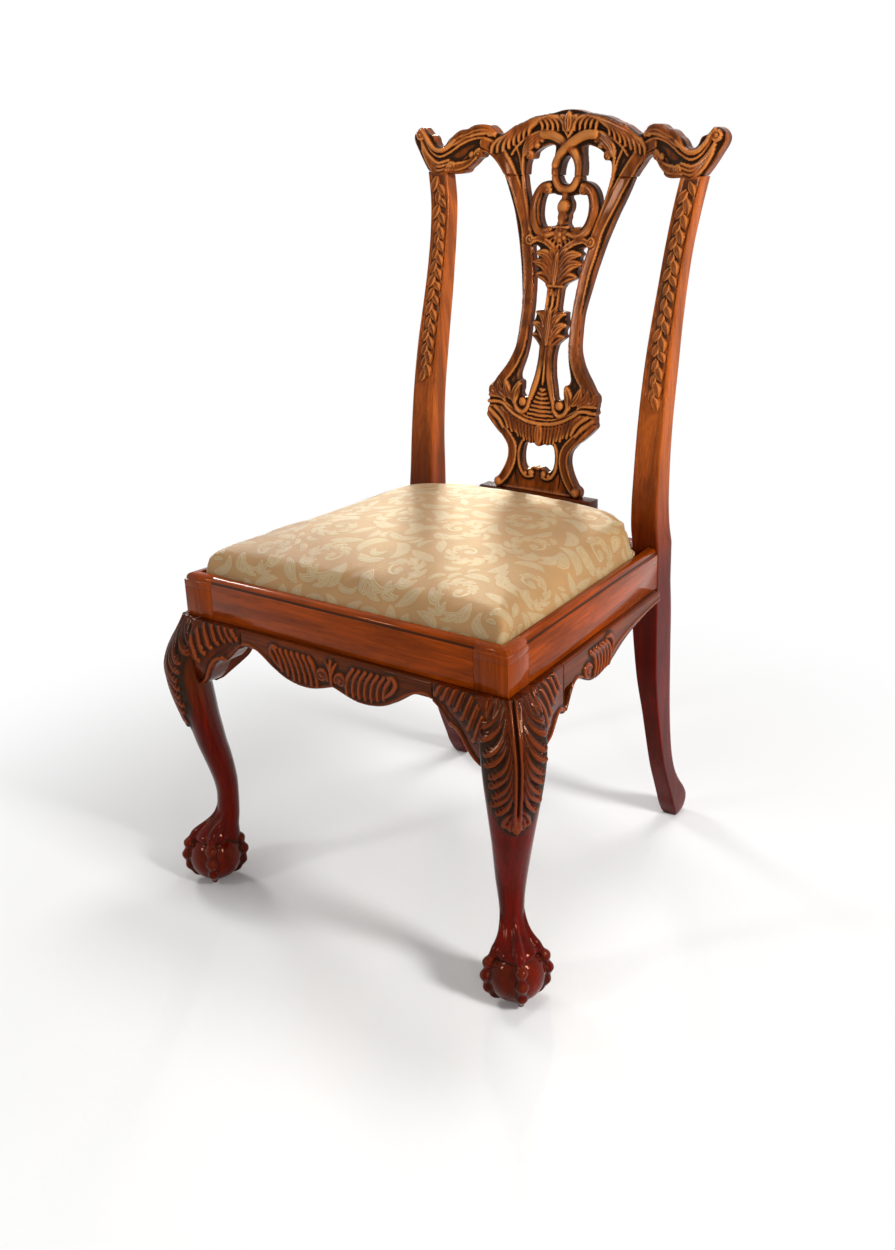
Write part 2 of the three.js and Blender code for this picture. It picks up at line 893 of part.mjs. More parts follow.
const slotHoleShares = [
  [
    [0.522, 0.779],
    [0.5, 0.705],
    [0.456, 0.658],
    [0.417, 0.612],
    [0.389, 0.565],
    [0.378, 0.519],
    [0.383, 0.472],
    [0.422, 0.426],
    [0.489, 0.379],
    [0.467, 0.36],
  ],
  [
    [0.467, 0.36],
    [0.411, 0.347],
    [0.389, 0.333],
    [0.411, 0.319],
    [0.367, 0.309],
    [0.289, 0.307],
    [0.244, 0.314],
    [0.2, 0.333],
    [0.156, 0.36],
    [0.139, 0.391],
    [0.133, 0.426],
    [0.144, 0.46],
    [0.167, 0.484],
  ],
  [
    [0.167, 0.484],
    [0.3, 0.505],
  ],
  [
    [0.3, 0.505],
    [0.267, 0.523],
    [0.311, 0.544],
  ],
  [
    [0.311, 0.544],
    [0.267, 0.579],
  ],
  [
    [0.267, 0.579],
    [0.133, 0.584],
    [0.122, 0.602],
    [0.122, 0.635],
    [0.122, 0.658],
    [0.178, 0.672],
    [0.289, 0.686],
    [0.389, 0.698],
  ],
  [
    [0.389, 0.698],
    [0.356, 0.714],
    [0.422, 0.73],
  ],
  [
    [0.422, 0.73],
    [0.367, 0.747],
    [0.4, 0.76],
    [0.333, 0.772],
    [0.422, 0.784],
    [0.489, 0.788],
    [0.522, 0.779],
  ],
];
const footHoleShares = [
  [
    [0, 0.16],
    [0.178, 0.163],
    [0.267, 0.158],
    [0.3, 0.137],
    [0.311, 0.112],
    [0.289, 0.086],
    [0.244, 0.072],
    [0.189, 0.07],
    [0.133, 0.077],
    [0.067, 0.084],
    [0, 0.079],
  ],
];
const splatHeight = splatTop - splatFoot;
const splatMap = ([x, z]) => [x * splatHalfWidth, splatFoot + z * splatHeight];

const splatSeatY = postFrontAt(splatFoot) + backBow;
const splatJointY = postFrontAt(splatTop) + backBow;

function strapTenon(side, grow, spare) {
  const x = side * strapTenonCentre;
  const y = splatJointY + splatThickness / 2;
  return toSolid(
    box(
      x - strapTenonWidth / 2 - grow,
      x + strapTenonWidth / 2 + grow,
      y - innerTenonThickness / 2 - grow,
      y + innerTenonThickness / 2 + grow,
      splatTop - overrun,
      splatTop + strapTenonLength + spare,
    ),
  );
}

function splatTenon(grow, spare) {
  const y = splatSeatY + splatThickness / 2;
  return toSolid(
    box(
      -splatTenonWidth - grow,
      splatTenonWidth + grow,
      y - innerTenonThickness / 2 - grow,
      y + innerTenonThickness / 2 + grow,
      splatFoot - splatTenonLength - spare,
      splatFoot + overrun,
    ),
  );
}

function backSplat() {
  const shape = symmetricOutline(
    [
      splatEyeShares.slice().reverse(),
      splatLoopShares.slice().reverse(),
      splatRingShares.slice().reverse(),
      splatStrandShares.slice().reverse(),
      splatCollarShares.slice().reverse(),
      splatBaseShares.slice().reverse(),
    ],
    splatMap,
  );
  const drilled = (hole) => toSolid(plate(hole, -overrun, splatThickness + overrun, 2));
  const sideHoles = [ringHoleShares, slotHoleShares].map((hole) => drilled(outline(hole, splatMap)));
  const flat = cut(
    toSolid(plate(shape, 0, splatThickness, 2)),
    ...sideHoles,
    ...sideHoles.map((hole) => mirrorX(hole, -1)),
    drilled(symmetricOutline(footHoleShares, splatMap)),
  );
  const body = toSolid(bendToBack(toGeometry(flat)));
  const joint = toSolid(
    box(-crestHalfWidth, crestHalfWidth, postFront, backOfSeat + backLean, splatFoot, splatTop - fitGap),
  );
  return join(body.intersect(joint), strapTenon(1, 0, 0), strapTenon(-1, 0, 0), splatTenon(0, 0));
}

function splatShoe() {
  const top = splatFoot - fitGap;
  const base = shoeSeat + fitGap;
  const front = shoeFront;
  const section = polygon([
    [front, base],
    [front + shoeTopInset * 0.7, base + (top - base) * 0.3],
    [front + shoeTopInset, base + (top - base) * 0.6],
    [front + shoeTopInset / 2, top - shoeRoll],
    [front + shoeTopInset / 4, top - shoeRoll / 2],
    [front + shoeTopInset, top],
    [backOfSeat, top],
    [backOfSeat, base],
  ]);
  const body = toSolid(moulding(section, -shoeWidth / 2, shoeWidth / 2));
  return cut(body, splatTenon(fitGap, mortiseSpare));
}

// Aprons: shares of half their run and of their drop, measured up from the deepest point.
const apronTop = railBottom - fitGap;
const apronBottom = railBottom - apronDrop;
const frontApronShares = [
  [
    [0, 1],
    [1, 1],
  ],
  [
    [1, 1],
    [1, 0.63],
  ],
  [
    [1, 0.63],
    [0.933, 0.685],
    [0.86, 0.65],
    [0.783, 0.52],
    [0.653, 0.28],
    [0.522, 0.12],
    [0.326, 0],
    [0.163, 0.07],
    [0.06, 0.15],
    [0, 0.2],
  ],
];
const frontApronHalf = frontHalf - kneeBlockStart - frontBlockReach - fitGap;

function frontApron() {
  const map = ([x, z]) => [x * frontApronHalf, apronBottom + z * (apronTop - apronBottom)];
  return toSolid(plate(symmetricOutline(frontApronShares, map), -apronProud, apronThickness - apronProud));
}

const sideApronShares = [
  [
    [0, 1],
    [0, 0.35],
  ],
  [
    [0, 0.35],
    [0.1, 0.39],
    [0.17, 0.26],
    [0.24, 0.1],
    [0.35, 0.06],
    [0.42, 0.2],
    [0.5, 0.39],
    [0.6, 0.54],
    [0.73, 0.67],
    [0.88, 0.74],
    [1, 0.76],
  ],
  [
    [1, 0.76],
    [1, 1],
  ],
];
const sideApronStart = kneeBlockStart + sideBlockReach + fitGap;

function sideApron() {
  const run = sideLength + stileWidth - sideApronStart;
  const map = ([u, z]) => [sideApronStart + u * run, apronBottom + z * (apronTop - apronBottom)];
  const shape = outline(sideApronShares, map);
  const long = toSolid(onSide(plate(shape, -apronProud, apronThickness - apronProud)));
  return long.intersect(acrossY(0, postFront - fitGap));
}

// Knee blocks, in their rail's frame: X along the rail from the chair's corner and Y inward. Rows of
// the share of the block's run, then how proud it stands and how deep it hangs.
const frontBlockShares = [
  [0, 1, 1],
  [0.2, 0.84, 0.84],
  [0.4, 0.66, 0.68],
  [0.6, 0.5, 0.5],
  [0.8, 0.42, 0.34],
  [1, 0.4, 0.26],
];
const sideBlockShares = [
  [0, 1, 1],
  [0.2, 0.85, 0.88],
  [0.4, 0.7, 0.78],
  [0.6, 0.56, 0.74],
  [0.8, 0.46, 0.72],
  [1, 0.4, 0.46],
];
const blockRoundShare = 0.3; // of the proudness, on the front edges

function kneeBlock(rows, reach) {
  const top = railBottom - 2 * fitGap;
  const back = apronThickness - apronProud;
  const rings = rows.map(([along, proud, drop]) => {
    const x = kneeBlockStart + along * reach;
    const front = -proud * kneeProud;
    const round = blockRoundShare * proud * kneeProud;
    const bottom = railBottom - drop * kneeBlockDrop;
    return [
      [x, back, bottom],
      [x, back, top],
      [x, front + round, top],
      [x, front, top - round],
      [x, front, bottom + round],
      [x, front + round, bottom],
    ];
  });
  return loft(rings);
}

// The same piece with left and right exchanged.
function mirrorGeometry(geometry) {
  const mirrored = geometry.clone();
  const position = mirrored.attributes.position;
  for (let i = 0; i < position.count; i++) position.setX(i, -position.getX(i));
  const index = mirrored.index.array;
  for (let i = 0; i < index.length; i += 3) [index[i + 1], index[i + 2]] = [index[i + 2], index[i + 1]];
  return mirrored;
}

function frontKneeBlock() {
  const block = mirrorGeometry(kneeBlock(frontBlockShares, frontBlockReach)).translate(frontHalf, 0, 0);
  return cut(toSolid(block), legShaft(fitGap));
}

function sideKneeBlock() {
  return cut(toSolid(onSide(kneeBlock(sideBlockShares, sideBlockReach))), legShaft(fitGap));
}

// Corner blocks, glued and screwed inside the seat frame's corners
const blockTop = ledge - cornerBlockDrop;
const blockInset = railThickness + fitGap;

// Plan of a block: its corner at the leg, then the ends of its sloping face.
const frontBlock = {
  corner: new THREE.Vector2(frontHalf - stileWidth - fitGap, stileWidth + fitGap),
  ends: [
    new THREE.Vector2(frontHalf - stileWidth - cornerBlockLeg, blockInset),
    new THREE.Vector2(innerSide(stileWidth + cornerBlockLeg, blockInset), stileWidth + cornerBlockLeg),
  ],
};
const rearBlock = {
  corner: new THREE.Vector2(rearRailHalf, postFront - fitGap),
  ends: [
    new THREE.Vector2(innerSide(postFront - cornerBlockLeg, blockInset), postFront - cornerBlockLeg),
    new THREE.Vector2(rearRailHalf - cornerBlockLeg, rearRailFront - fitGap),
  ],
};

function cornerScrew(block, level, grow) {
  const middle = block.ends[0].clone().lerp(block.ends[1], 1 / 2);
  const direction = block.corner.clone().sub(middle).normalize();
  const start = middle.addScaledVector(direction, screwSink);
  const head = grow ? overrun : 0;
  const profile = [
    [0, screwLength + grow],
    [screwRadius / 2 + grow, screwLength - screwRadius],
    [screwRadius + grow, screwLength - 3 * screwRadius],
    [screwRadius + grow, screwHeadHeight],
    [screwHeadRadius + grow, grow],
    [screwHeadRadius + grow, -head],
    [0, -head],
  ];
  const geometry = new THREE.LatheGeometry(mapped(profile, unchanged).reverse(), screwSides);
  const turn = new THREE.Quaternion().setFromUnitVectors(
    new THREE.Vector3(0, 1, 0),
    new THREE.Vector3(direction.x, direction.y, 0),
  );
  const middleHeight = blockTop - cornerBlockHeight / 2;
  return toSolid(geometry.applyQuaternion(turn).translate(start.x, start.y, middleHeight + level * screwSpread));
}

const screwLevelShares = [1 / 2, -1 / 2]; // of the screws' spread, above and below the block's middle
const screwHoles = (block) => screwLevelShares.map((level) => cornerScrew(block, level, fitGap));

function cornerBlock(block, plan) {
  const shape = polygon(plan);
  return cut(toSolid(prism(shape, blockTop - cornerBlockHeight, blockTop)), ...screwHoles(block));
}

function frontCornerBlock() {
  const { corner, ends } = frontBlock;
  return cornerBlock(frontBlock, [
    [ends[0].x, ends[0].y],
    [corner.x, blockInset],
    [corner.x, corner.y],
    [innerSide(corner.y, blockInset), corner.y],
    [ends[1].x, ends[1].y],
  ]);
}

function rearCornerBlock() {
  const { corner, ends } = rearBlock;
  return cornerBlock(rearBlock, [
    [ends[0].x, ends[0].y],
    [innerSide(corner.y, blockInset), corner.y],
    [corner.x, corner.y],
    [corner.x, rearRailFront - fitGap],
    [ends[1].x, ends[1].y],
  ]);
}

// Slip seat
const coverInset = lipWidth + seatClearance;
const frameInset = coverInset + coverThickness + fitGap;
const frameBottom = ledge + fitGap;
const frameTop = frameBottom + slipFrameThickness;
const webLow = frameTop + fitGap;
const webHigh = webLow + webThickness + fitGap;
const padBottom = webHigh + webThickness + fitGap;
const frameTenonThickness = slipFrameThickness / 3;
const frameTenonLength = slipFrameWidth / 2;
const frameTenonShares = [0.9, 0.6]; // the tenon's sides, across the frame member
const frameSplitFront = frameInset + slipFrameWidth;
const frameSplitRear = seatRear - slipFrameWidth;

const acrossAll = (y0, y1) => toSolid(box(-frontHalf, frontHalf, y0, y1, 0, chairHeight));

function frameRing() {
  const outer = toSolid(prism(mirroredPlan(seatPlan(frameInset)), frameBottom, frameTop));
  const hole = innerPlan(frameSplitFront, frameSplitRear);
  return cut(outer, toSolid(prism(mirroredPlan(hole), frameBottom - overrun, frameTop + overrun)));
}

function frameTenon(y0, y1, grow) {
  const low = (frameBottom + frameTop - frameTenonThickness) / 2;
  const [innerShare, outerShare] = frameTenonShares;
  const x0 = innerSide(y1, frameInset + slipFrameWidth * innerShare);
  const x1 = innerSide(y1, frameInset + slipFrameWidth * outerShare);
  return toSolid(
    box(x0 - grow, x1 + grow, y0 - grow, y1 + grow, low - grow, low + frameTenonThickness + grow),
  );
}

const frontFrameTenon = (grow) => frameTenon(frameSplitFront - frameTenonLength, frameSplitFront + overrun, grow);
const rearFrameTenon = (grow) => frameTenon(frameSplitRear - overrun, frameSplitRear + frameTenonLength, grow);

function frameFront() {
  const bar = frameRing().intersect(acrossAll(0, frameSplitFront - fitGap / 2));
  const mortise = frontFrameTenon(fitGap);
  return cut(bar, mortise, mirrorX(mortise, -1));
}

function frameRear() {
  const bar = frameRing().intersect(acrossAll(frameSplitRear + fitGap / 2, backOfSeat));
  const mortise = rearFrameTenon(fitGap);
  return cut(bar, mortise, mirrorX(mortise, -1));
}

function frameSide() {
  const bar = frameRing().intersect(acrossY(frameSplitFront + fitGap / 2, frameSplitRear - fitGap / 2));
  return join(bar, frontFrameTenon(0), rearFrameTenon(0));
}

function lengthwiseWeb(i) {
  const pitch = (2 * innerSide(frameSplitRear, frameInset + slipFrameWidth)) / webCount;
  const x = (i - (webCount - 1) / 2) * pitch;
  return toSolid(
    box(x - webWidth / 2, x + webWidth / 2, frameInset + webEndInset, seatRear - webEndInset, webLow, webLow + webThickness),
  );
}

function crosswiseWeb(i) {
  const pitch = (frameSplitRear - frameSplitFront) / webCount;
  const y = frameSplitFront + (i + 1 / 2) * pitch;
  const half = innerSide(y + webWidth / 2, frameInset + webEndInset);
  return toSolid(box(-half, half, y - webWidth / 2, y + webWidth / 2, webHigh, webHigh + webThickness));
}

// The padding and its cover: the seat's plan drawn in towards its middle, and rounded, while it rises
// to the crown.
const crownShares = [1, 0.992, 0.972, 0.93, 0.86, 0.74, 0.56, 0.34, 0.14]; // of the plan, ring by ring
const crownPower = 2.8;
const crownMiddle = seatRear / 2;
const crownRoundShare = 1.05; // radius of the rings near the crown, of half the seat's depth

function crown(inset, low, edge, top) {
  const half = divided(seatPlan(inset), slipFrameWidth);
  const plan = [...half, ...half.slice(1, -1).map(([x, y]) => [-x, y]).reverse()];
  const round = crownMiddle * crownRoundShare;
  const ring = (share, z) =>
    plan.map(([x, y]) => {
      const reach = Math.hypot(x, y - crownMiddle);
      const drawn = share * (share + ((1 - share) * round) / reach);
      return [x * drawn, crownMiddle + (y - crownMiddle) * drawn, z];
    });
  const rise = (share) => edge + (top - edge) * (1 - share ** crownPower);
  return toSolid(loft([ring(1, low), ...crownShares.map((share) => ring(share, rise(share)))]));
}

const padEdge = padBottom + padEdgeHeight;
const padTop = padBottom + padHeight;

const seatFoam = () => crown(frameInset, padBottom, padEdge, padTop);

function seatCover() {
  const outer = crown(coverInset, frameBottom, padEdge + fitGap + coverThickness, padTop + fitGap + coverThickness);
  return cut(outer, crown(coverInset + coverThickness, frameBottom - overrun, padEdge + fitGap, padTop + fitGap));
}

function dustCover() {
  const plan = innerPlan(stileWidth + seatClearance, rearRailFront - seatClearance);
  const top = frameBottom - fitGap;
  return toSolid(prism(mirroredPlan(plan), top - dustCoverThickness, top));
}

// Finishes
const finish = (color, roughness, metalness = 0) => new THREE.MeshStandardMaterial({ color, roughness, metalness });
const darkMahogany = finish(0x4a1510, 0.3);
const mahogany = finish(0x7c3316, 0.3);
const goldenMahogany = finish(0x9a5a2e, 0.3);
const beech = finish(0xb98e5c, 0.6);
const jute = finish(0x9c7f52, 0.9);
const padding = finish(0xe4dcc4, 0.9);
const damask = finish(0xc9b58e, 0.8);
const blackCloth = finish(0x1c1a18, 0.95);
const steel = finish(0x8f8f8c, 0.35, 1);

const chair = new THREE.Group();

function add(name, solid, material) {
  const mesh = new THREE.Mesh(toGeometry(solid), material);
  mesh.name = name;
  chair.add(mesh);
}

function addPair(name, solid, material) {
  add(`${name}_right`, solid, material);
  add(`${name}_left`, mirrorX(solid, -1), material);
}

addPair("front_leg", cut(frontLeg(), ...screwHoles(frontBlock)), darkMahogany);
addPair("back_post", cut(backPost(), ...screwHoles(rearBlock)), goldenMahogany);
add("front_seat_rail", frontRail(), mahogany);
addPair("side_seat_rail", sideRail(), mahogany);
add("rear_seat_rail", rearRail(), mahogany);
add("crest_rail", crestRail(), goldenMahogany);
add("back_splat", backSplat(), goldenMahogany);
add("splat_shoe", splatShoe(), darkMahogany);
add("front_apron", frontApron(), mahogany);
addPair("side_apron", sideApron(), mahogany);
addPair("front_knee_block", frontKneeBlock(), darkMahogany);
addPair("side_knee_block", sideKneeBlock(), darkMahogany);
addPair("front_corner_block", frontCornerBlock(), beech);
addPair("rear_corner_block", rearCornerBlock(), beech);
for (const [i, level] of screwLevelShares.entries()) {
  addPair(`front_block_screw_${i + 1}`, cornerScrew(frontBlock, level, 0), steel);
  addPair(`rear_block_screw_${i + 1}`, cornerScrew(rearBlock, level, 0), steel);
}
add("slip_seat_frame_front", frameFront(), beech);
add("slip_seat_frame_rear", frameRear(), beech);
addPair("slip_seat_frame_side", frameSide(), beech);
for (let i = 0; i < webCount; i++) {
  add(`lengthwise_webbing_${i + 1}`, lengthwiseWeb(i), jute);
  add(`crosswise_webbing_${i + 1}`, crosswiseWeb(i), jute);
}
add("seat_padding", seatFoam(), padding);
add("seat_cover", seatCover(), damask);
add("dust_cover", dustCover(), blackCloth);

// The origin lies on the floor, under the middle of the chair's overall depth.
const overall = new THREE.Box3().setFromObject(chair);
chair.position.y = -(overall.min.y + overall.max.y) / 2;

export default chair;
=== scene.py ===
"""Dresses the carved side chair: carved and polished mahogany, a damask slip seat and a studio stage."""

import math

import bpy
import numpy as np
from mathutils import Matrix, Vector

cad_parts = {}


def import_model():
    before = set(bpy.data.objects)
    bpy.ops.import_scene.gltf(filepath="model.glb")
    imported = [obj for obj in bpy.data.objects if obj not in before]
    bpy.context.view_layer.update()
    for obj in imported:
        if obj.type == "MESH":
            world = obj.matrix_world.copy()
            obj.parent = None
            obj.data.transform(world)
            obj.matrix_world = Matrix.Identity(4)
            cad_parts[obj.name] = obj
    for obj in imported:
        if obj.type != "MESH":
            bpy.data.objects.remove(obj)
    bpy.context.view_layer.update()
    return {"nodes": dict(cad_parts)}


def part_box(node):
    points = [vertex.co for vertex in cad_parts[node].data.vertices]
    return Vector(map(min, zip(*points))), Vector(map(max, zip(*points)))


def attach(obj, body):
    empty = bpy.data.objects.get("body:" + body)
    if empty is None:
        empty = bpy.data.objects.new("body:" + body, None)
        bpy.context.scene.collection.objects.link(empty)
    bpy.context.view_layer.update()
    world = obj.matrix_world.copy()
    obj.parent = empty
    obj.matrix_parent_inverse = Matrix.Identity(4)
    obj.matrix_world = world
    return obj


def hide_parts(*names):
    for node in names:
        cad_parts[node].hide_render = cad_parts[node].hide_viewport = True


bl_info = {
    "name": "Carved side chair",
    "version": (1, 0, 0),
    "blender": (4, 5, 0),
    "location": "View3D > Sidebar > Chair",
    "description": "Builds a carved mahogany side chair around its packed frame",
    "category": "Object",
}

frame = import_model()
nodes = frame["nodes"]
mm = 0.001
front_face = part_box("front_seat_rail")[0].y / mm  # the front rail's face, where y is 0 in the chair's plan
rail_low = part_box("front_seat_rail")[0].z / mm
rail_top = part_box("front_seat_rail")[1].z / mm
crest_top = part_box("crest_rail")[1].z / mm
post_depth = 44
post_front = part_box("rear_seat_rail")[1].y / mm - front_face - post_depth
lip_width = 14  # the rails' top edge outside the rebate that the slip seat lies in
rebate_depth = 18
bead_height = 9


def millimetres(name, default, description):
    """A size in millimetres."""
    return bpy.props.FloatProperty(name=name, default=default, description=description)


def colour(name, default, description):
    """A colour with its name and description."""
    return bpy.props.FloatVectorProperty(
        name=name, default=default, description=description, subtype="COLOR", size=3, min=0, max=1
    )


class ChairSizes(bpy.types.PropertyGroup):
    """Sizes of the carved and upholstered pieces, in millimetres."""

    seat_front: millimetres("Seat front", 511, "Width across the seat frame at the front")
    seat_rear: millimetres("Seat rear", 433, "Width across the seat frame at the back posts")
    back_lean: millimetres("Back lean", 95, "How far the crest lies behind the foot of the back")
    back_bow: millimetres("Back bow", 26, "How far the splat lies behind the posts")
    splat_depth: millimetres("Splat depth", 15, "Thickness of the splat")
    crest_depth: millimetres("Crest depth", 21, "Thickness of the crest rail")
    carving_step: millimetres("Carving step", 1.15, "Grid of the carved faces")
    leg_voxel: millimetres("Leg voxel", 1.4, "Voxel of the carved legs")
    ball_radius: millimetres("Ball radius", 36, "Radius of the ball under each claw")
    crown: millimetres("Crown", 26, "Rise of the seat's middle above its edge")
    puff: millimetres("Puff", 27, "Height of the seat's rounded edge above the rails")


class ChairFinishes(bpy.types.PropertyGroup):
    """Colours of the finishes, and of the shade painted into the carving."""

    leg: colour("Legs", (0.11, 0.001, 0.0005), "Deep red mahogany")
    rail: colour("Rails", (0.3, 0.045, 0.0015), "Red-brown mahogany")
    back: colour("Back", (0.37, 0.082, 0.012), "Golden-brown mahogany")
    # painted shade: the near-black colour that the carving's recesses are darkened towards
    painted_shade: colour("Glaze", (0.012, 0.005, 0.002), "Dark antique glaze in the carving")
    cloth: colour("Cloth", (0.36, 0.195, 0.068), "Ground of the damask")
    figure: colour("Figure", (0.42, 0.31, 0.158), "Woven figure of the damask")


# Outlines and curves


def turns(count):
    """Angles evenly round a circle."""
    return np.linspace(0, 2 * math.pi, count, endpoint=False)


def eased(share):
    """A share from 0 to 1 that starts and ends softly."""
    return share * share * (3 - 2 * share)


def curve(points, step=1.0):
    """Points a step apart on a smooth curve through the given ones, whatever they hold beside their place."""
    p = np.array(points, float)
    ends = np.vstack([2 * p[0] - p[1], p, 2 * p[-1] - p[-2]])
    out = []
    for i in range(len(p) - 1):
        a, b, c, d = ends[i : i + 4]
        count = max(2, int(np.linalg.norm((c - b)[:2]) / step))
        t = np.linspace(0, 1, count, endpoint=False)[:, None]
        square = (2 * a - 5 * b + 4 * c - d) * t**2
        cube = (3 * (b - c) - a + d) * t**3
        out.append(0.5 * (2 * b + (c - a) * t + square + cube))
    return np.vstack(out + [p[-1:]])


def smooth_table(rows, at):
    """Smooth values of a table's columns at the given places of its first column."""
    rows = np.array(rows, float)
    x = rows[:, 0]
    at = np.clip(np.asarray(at, float), x[0], x[-1])
    slope = np.gradient(rows[:, 1:], x, axis=0)
    i = np.clip(np.searchsorted(x, at, side="right") - 1, 0, len(x) - 2)
    span = x[i + 1] - x[i]
    t = ((at - x[i]) / span)[..., None]
    span = span[..., None]
    low, high = rows[i, 1:], rows[i + 1, 1:]
    return (
        (2 * t**3 - 3 * t**2 + 1) * low
        + (t**3 - 2 * t**2 + t) * span * slope[i]
        + (3 * t**2 - 2 * t**3) * high
        + (t**3 - t**2) * span * slope[i + 1]
    )


LEAN_SHARES = [
    (0, 0), (0.081, 0.026), (0.161, 0.074), (0.296, 0.179), (0.439, 0.347), (0.586, 0.568), (0.708, 0.747),
    (0.774, 0.842), (0.869, 0.926), (0.977, 0.99), (1, 1),
]


def lean(z, sizes):
    """How far the back has leant backwards at a height."""
    return sizes.back_lean * smooth_table(LEAN_SHARES, (z - rail_top) / (crest_top - rail_top))[..., 0]


def bow(x, sizes, flat=90, end=210):
    """How far the back is bowed backwards at a distance from its middle."""
    s = np.clip((end - np.abs(x)) / (end - flat), 0, 1)
    return sizes.back_bow * s * s * (3 - 2 * s)


def on_back(sizes):
    """Places a flat carving on the back's bowed and leaning surface."""

    def place(x, depth, z):
        return np.stack([x, post_front + lean(z, sizes) + bow(x, sizes) + depth, z], -1)

    return place


def half_width(sizes, y, inset=0.0):
    """The seat frame's half width at y, drawn in by an inset square to the side rails."""
    slope = (sizes.seat_rear - sizes.seat_front) / 2 / post_front
    return sizes.seat_front / 2 + slope * y - inset * math.hypot(1, slope)


def side_direction(sizes):
    """The direction of the right side rail, from the front to the back."""
    run = np.array([(sizes.seat_rear - sizes.seat_front) / 2, post_front])
    return run / np.linalg.norm(run)


def side_frame(sizes):
    """Places a plan drawn along the right side rail: u from the front corner, depth inward."""
    corner = sizes.seat_front / 2
    run = side_direction(sizes)

    def place(u, depth, z):
        return np.stack([corner + run[0] * u - run[1] * depth, run[1] * u + run[0] * depth, z], -1)

    return place


# Meshes


def linked(name, data):
    """A new object of some data, in the scene."""
    thing = bpy.data.objects.new(name, data)
    bpy.context.collection.objects.link(thing)
    return thing


def smoothed(mesh):
    """Shades every face of a mesh smooth."""
    mesh.polygons.foreach_set("use_smooth", np.ones(len(mesh.polygons), bool))


def record(mesh, name, values):
    """Keeps a value for each point of a mesh, under a name that materials read."""
    layer = mesh.attributes.new(name, "FLOAT", "POINT")
    layer.data.foreach_set("value", np.asarray(values, np.float32))


def new_piece(name, points, faces, hollow=None):
    """A mesh object from points in millimetres in the chair's plan."""
    points = np.asarray(points, float) + [0, front_face, 0]
    mesh = bpy.data.meshes.new(name)
    mesh.from_pydata((points * mm).tolist(), [], [list(map(int, f)) for f in faces])
    if hollow is not None:
        record(mesh, "hollow", hollow)
    smoothed(mesh)
    return linked(name, mesh)


def rebuilt(piece):
    """The piece's modifiers made real."""
    bpy.context.view_layer.update()
    graph = bpy.context.evaluated_depsgraph_get()
    mesh = bpy.data.meshes.new_from_object(piece.evaluated_get(graph))
    old = piece.data
    piece.modifiers.clear()
    piece.data = mesh
    bpy.data.meshes.remove(old)
    mesh.name = piece.name
    smoothed(mesh)
    return piece


def points_of(piece):
    """The piece's points in millimetres in the chair's plan."""
    flat = np.empty(len(piece.data.vertices) * 3, np.float32)
    piece.data.vertices.foreach_get("co", flat)
    return flat.reshape(-1, 3).astype(float) / mm - [0, front_face, 0]


def set_points(piece, points):
    """Moves the piece's points to places in millimetres in the chair's plan."""
    piece.data.vertices.foreach_set("co", ((points + [0, front_face, 0]) * mm).ravel())
    piece.data.update()


def mirrored(piece, name):
    """The piece with left and right exchanged."""
    mesh = piece.data.copy()
    mesh.transform(Matrix.Diagonal((-1, 1, 1, 1)))
    mesh.flip_normals()
    mesh.name = name
    return linked(name, mesh)


def loft(rings, closed_ends=True):
    """Points and faces of a skin over rings that are seen anticlockwise from the last ring's side."""
    rings = np.asarray(rings, float)
    count, around = rings.shape[:2]
    i, j = np.meshgrid(np.arange(count - 1), np.arange(around), indexing="ij")
    a = i * around + j
    b = i * around + (j + 1) % around
    faces = np.stack([a, b, b + around, a + around], -1).reshape(-1, 4).tolist()
    points = rings.reshape(-1, 3)
    if closed_ends:
        middles = [rings[0].mean(0), rings[-1].mean(0)]
        low, last = len(points), (count - 1) * around
        points = np.vstack([points, middles])
        faces += [[low, (k + 1) % around, k] for k in range(around)]
        faces += [[low + 1, last + k, last + (k + 1) % around] for k in range(around)]
    return points, faces


def joined(parts):
    """Several lists of points and faces as one."""
    points, faces, start = [], [], 0
    for p, f in parts:
        points.append(p)
        faces += [[v + start for v in face] for face in f]
        start += len(p)
    return np.vstack(points), faces


def dress(piece, body, material, replaces=()):
    """Gives a finished piece its material, its body and the nodes it stands for."""
    if material:
        piece.data.materials.clear()
        piece.data.materials.append(material)
    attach(piece, body)
    if replaces:
        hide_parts(*replaces)
    return piece


def dress_both(right, material, node):
    """Dresses a right-hand piece of the chair's frame and its mirror image on the left."""
    left = mirrored(right, right.name.replace("right", "left"))
    dress(right, "chair_frame", material, [node + "_right"])
    dress(left, "chair_frame", material, [node + "_left"])


# Carving

FAR = 40.0


def blurred(values, radius):
    """A box blur, three times over."""
    for _ in range(3):
        for axis in (0, 1):
            size = values.shape[axis]
            pads = [(radius, radius) if k == axis else (0, 0) for k in (0, 1)]
            padded = np.pad(values, pads, "edge")
            count = 2 * radius + 1
            values = sum(padded.take(range(k, k + size), axis) for k in range(count)) / count
    return values


def directions(path):
    """The unit direction at each point of a path, and the one square to it."""
    run = np.gradient(path[:, :2], axis=0)
    run /= np.linalg.norm(run, axis=1)[:, None] + 1e-9
    return run, np.stack([-run[:, 1], run[:, 0]], -1)


def mark_sharp(piece, pairs):
    """Marks the edges between pairs of points as sharp."""
    ends = np.empty(len(piece.data.edges) * 2, np.int32)
    piece.data.edges.foreach_get("vertices", ends)
    ends = np.sort(ends.reshape(-1, 2), axis=1).astype(np.int64)
    wanted = np.sort(pairs, axis=1)
    count = len(piece.data.vertices)
    sharp = np.isin(ends[:, 0] * count + ends[:, 1], wanted[:, 0] * count + wanted[:, 1])
    layer = piece.data.attributes.new("sharp_edge", "BOOLEAN", "EDGE")
    layer.data.foreach_set("value", sharp)


